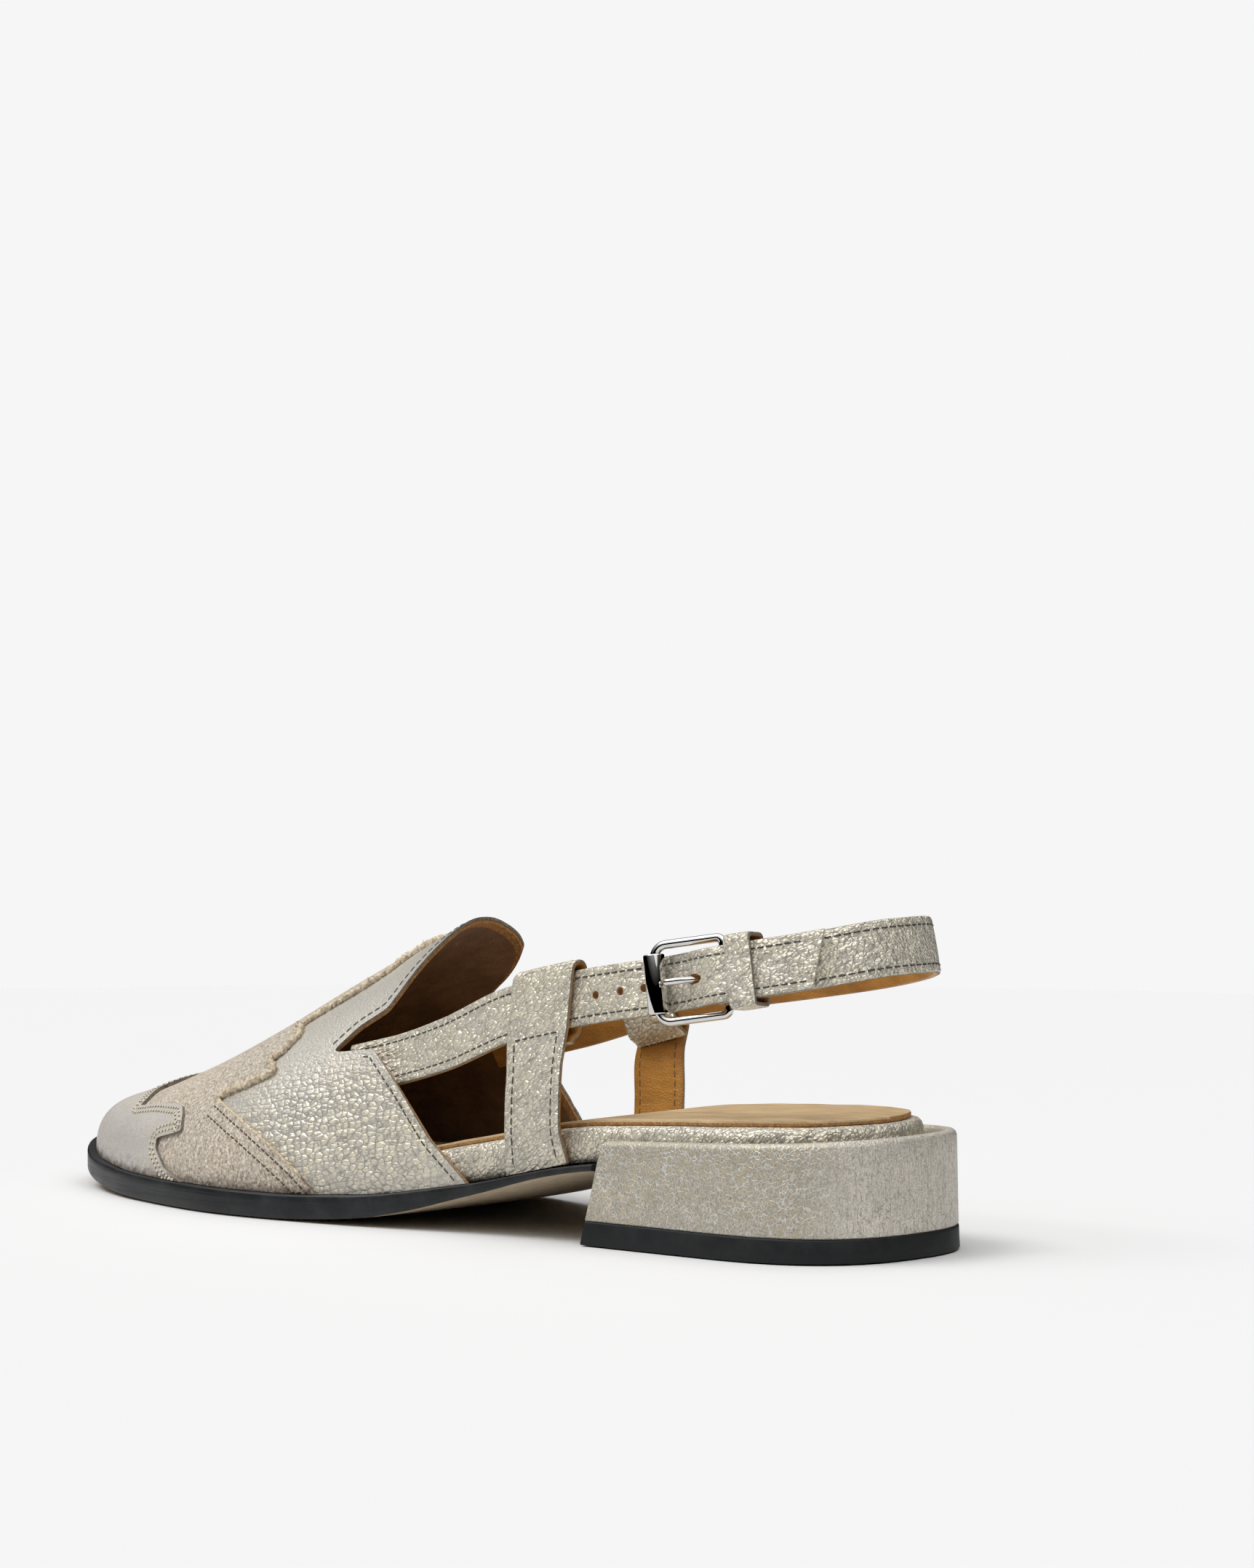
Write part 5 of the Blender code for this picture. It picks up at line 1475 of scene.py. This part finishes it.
def make_light():
    """A room that is bright above and dim at the sides and below; the eye sees a plain white backdrop."""
    bpy.context.scene.view_settings.view_transform = "Standard"
    world = bpy.data.worlds.new("studio")
    bpy.context.scene.world = world
    world.use_nodes = True
    room = Nodes(world.node_tree)
    seen = room.tree.nodes["Background"]
    room.put(seen.inputs["Color"], (1.0, 1.0, 1.0))
    room.put(seen.inputs["Strength"], BACKDROP)
    towards = room.node("ShaderNodeTexCoord", {}, "Generated")
    facing = room.vector("DOT_PRODUCT", towards, Vector(GLOW_FROM).normalized(), output="Value")
    fade = room.node("ShaderNodeFloatCurve", {"Value": room.fit(facing, -1.0, 1.0)})
    curve = fade.node.mapping
    points = curve.curves[0].points
    while len(points) < len(ROOM_GLOW):
        points.new(0.5, 0.5)
    for point, (position, brightness) in zip(points, ROOM_GLOW):
        point.location = (position, brightness / 2)
    curve.update()
    glow = room.node("ShaderNodeBackground", {"Color": (1.0, 1.0, 1.0), "Strength": room.times(fade, 2.0)})
    camera_ray = room.node("ShaderNodeLightPath", {}, "Is Camera Ray")
    light = room.node("ShaderNodeMixShader", {"Fac": camera_ray, 1: glow, 2: seen.outputs["Background"]})
    room.put(room.tree.nodes["World Output"].inputs["Surface"], light)
    for name, place, spread, power in LAMPS:
        lamp = bpy.data.lights.new(name, "SUN")
        lamp.energy = power
        lamp.angle = math.radians(spread)
        add(name, lamp).rotation_euler = (-Vector(place)).to_track_quat("-Z", "Y").to_euler()


CAMERA_PLACE = (-885.3, 1092.8, 171.5)
CAMERA_AIM = (0.6642, -0.7461, -0.0465)
CAMERA_LENS = 181.46


def make_camera():
    camera = bpy.data.cameras.new("photo_camera")
    camera.sensor_fit = "HORIZONTAL"
    camera.sensor_width = 36.0
    camera.lens = CAMERA_LENS
    camera.clip_start = 0.05
    obj = add("photo_camera", camera)
    obj.location = metres(CAMERA_PLACE)
    obj.rotation_euler = Vector(CAMERA_AIM).to_track_quat("-Z", "Y").to_euler()
    bpy.context.scene.camera = obj


make_camera()
make_light()
make_floor()
make_outsole()
make_heel()
make_insole()
make_upper()
make_strap()
make_sling()
make_t_strap("side_strap_outer", "t_strap_lateral", *OUTER_SIDE_STRAP)
make_t_strap("side_strap_inner", "t_strap_medial", *INNER_SIDE_STRAP)
make_keeper()
make_buckle()
make_edge_stitches()
make_strap_stitches()
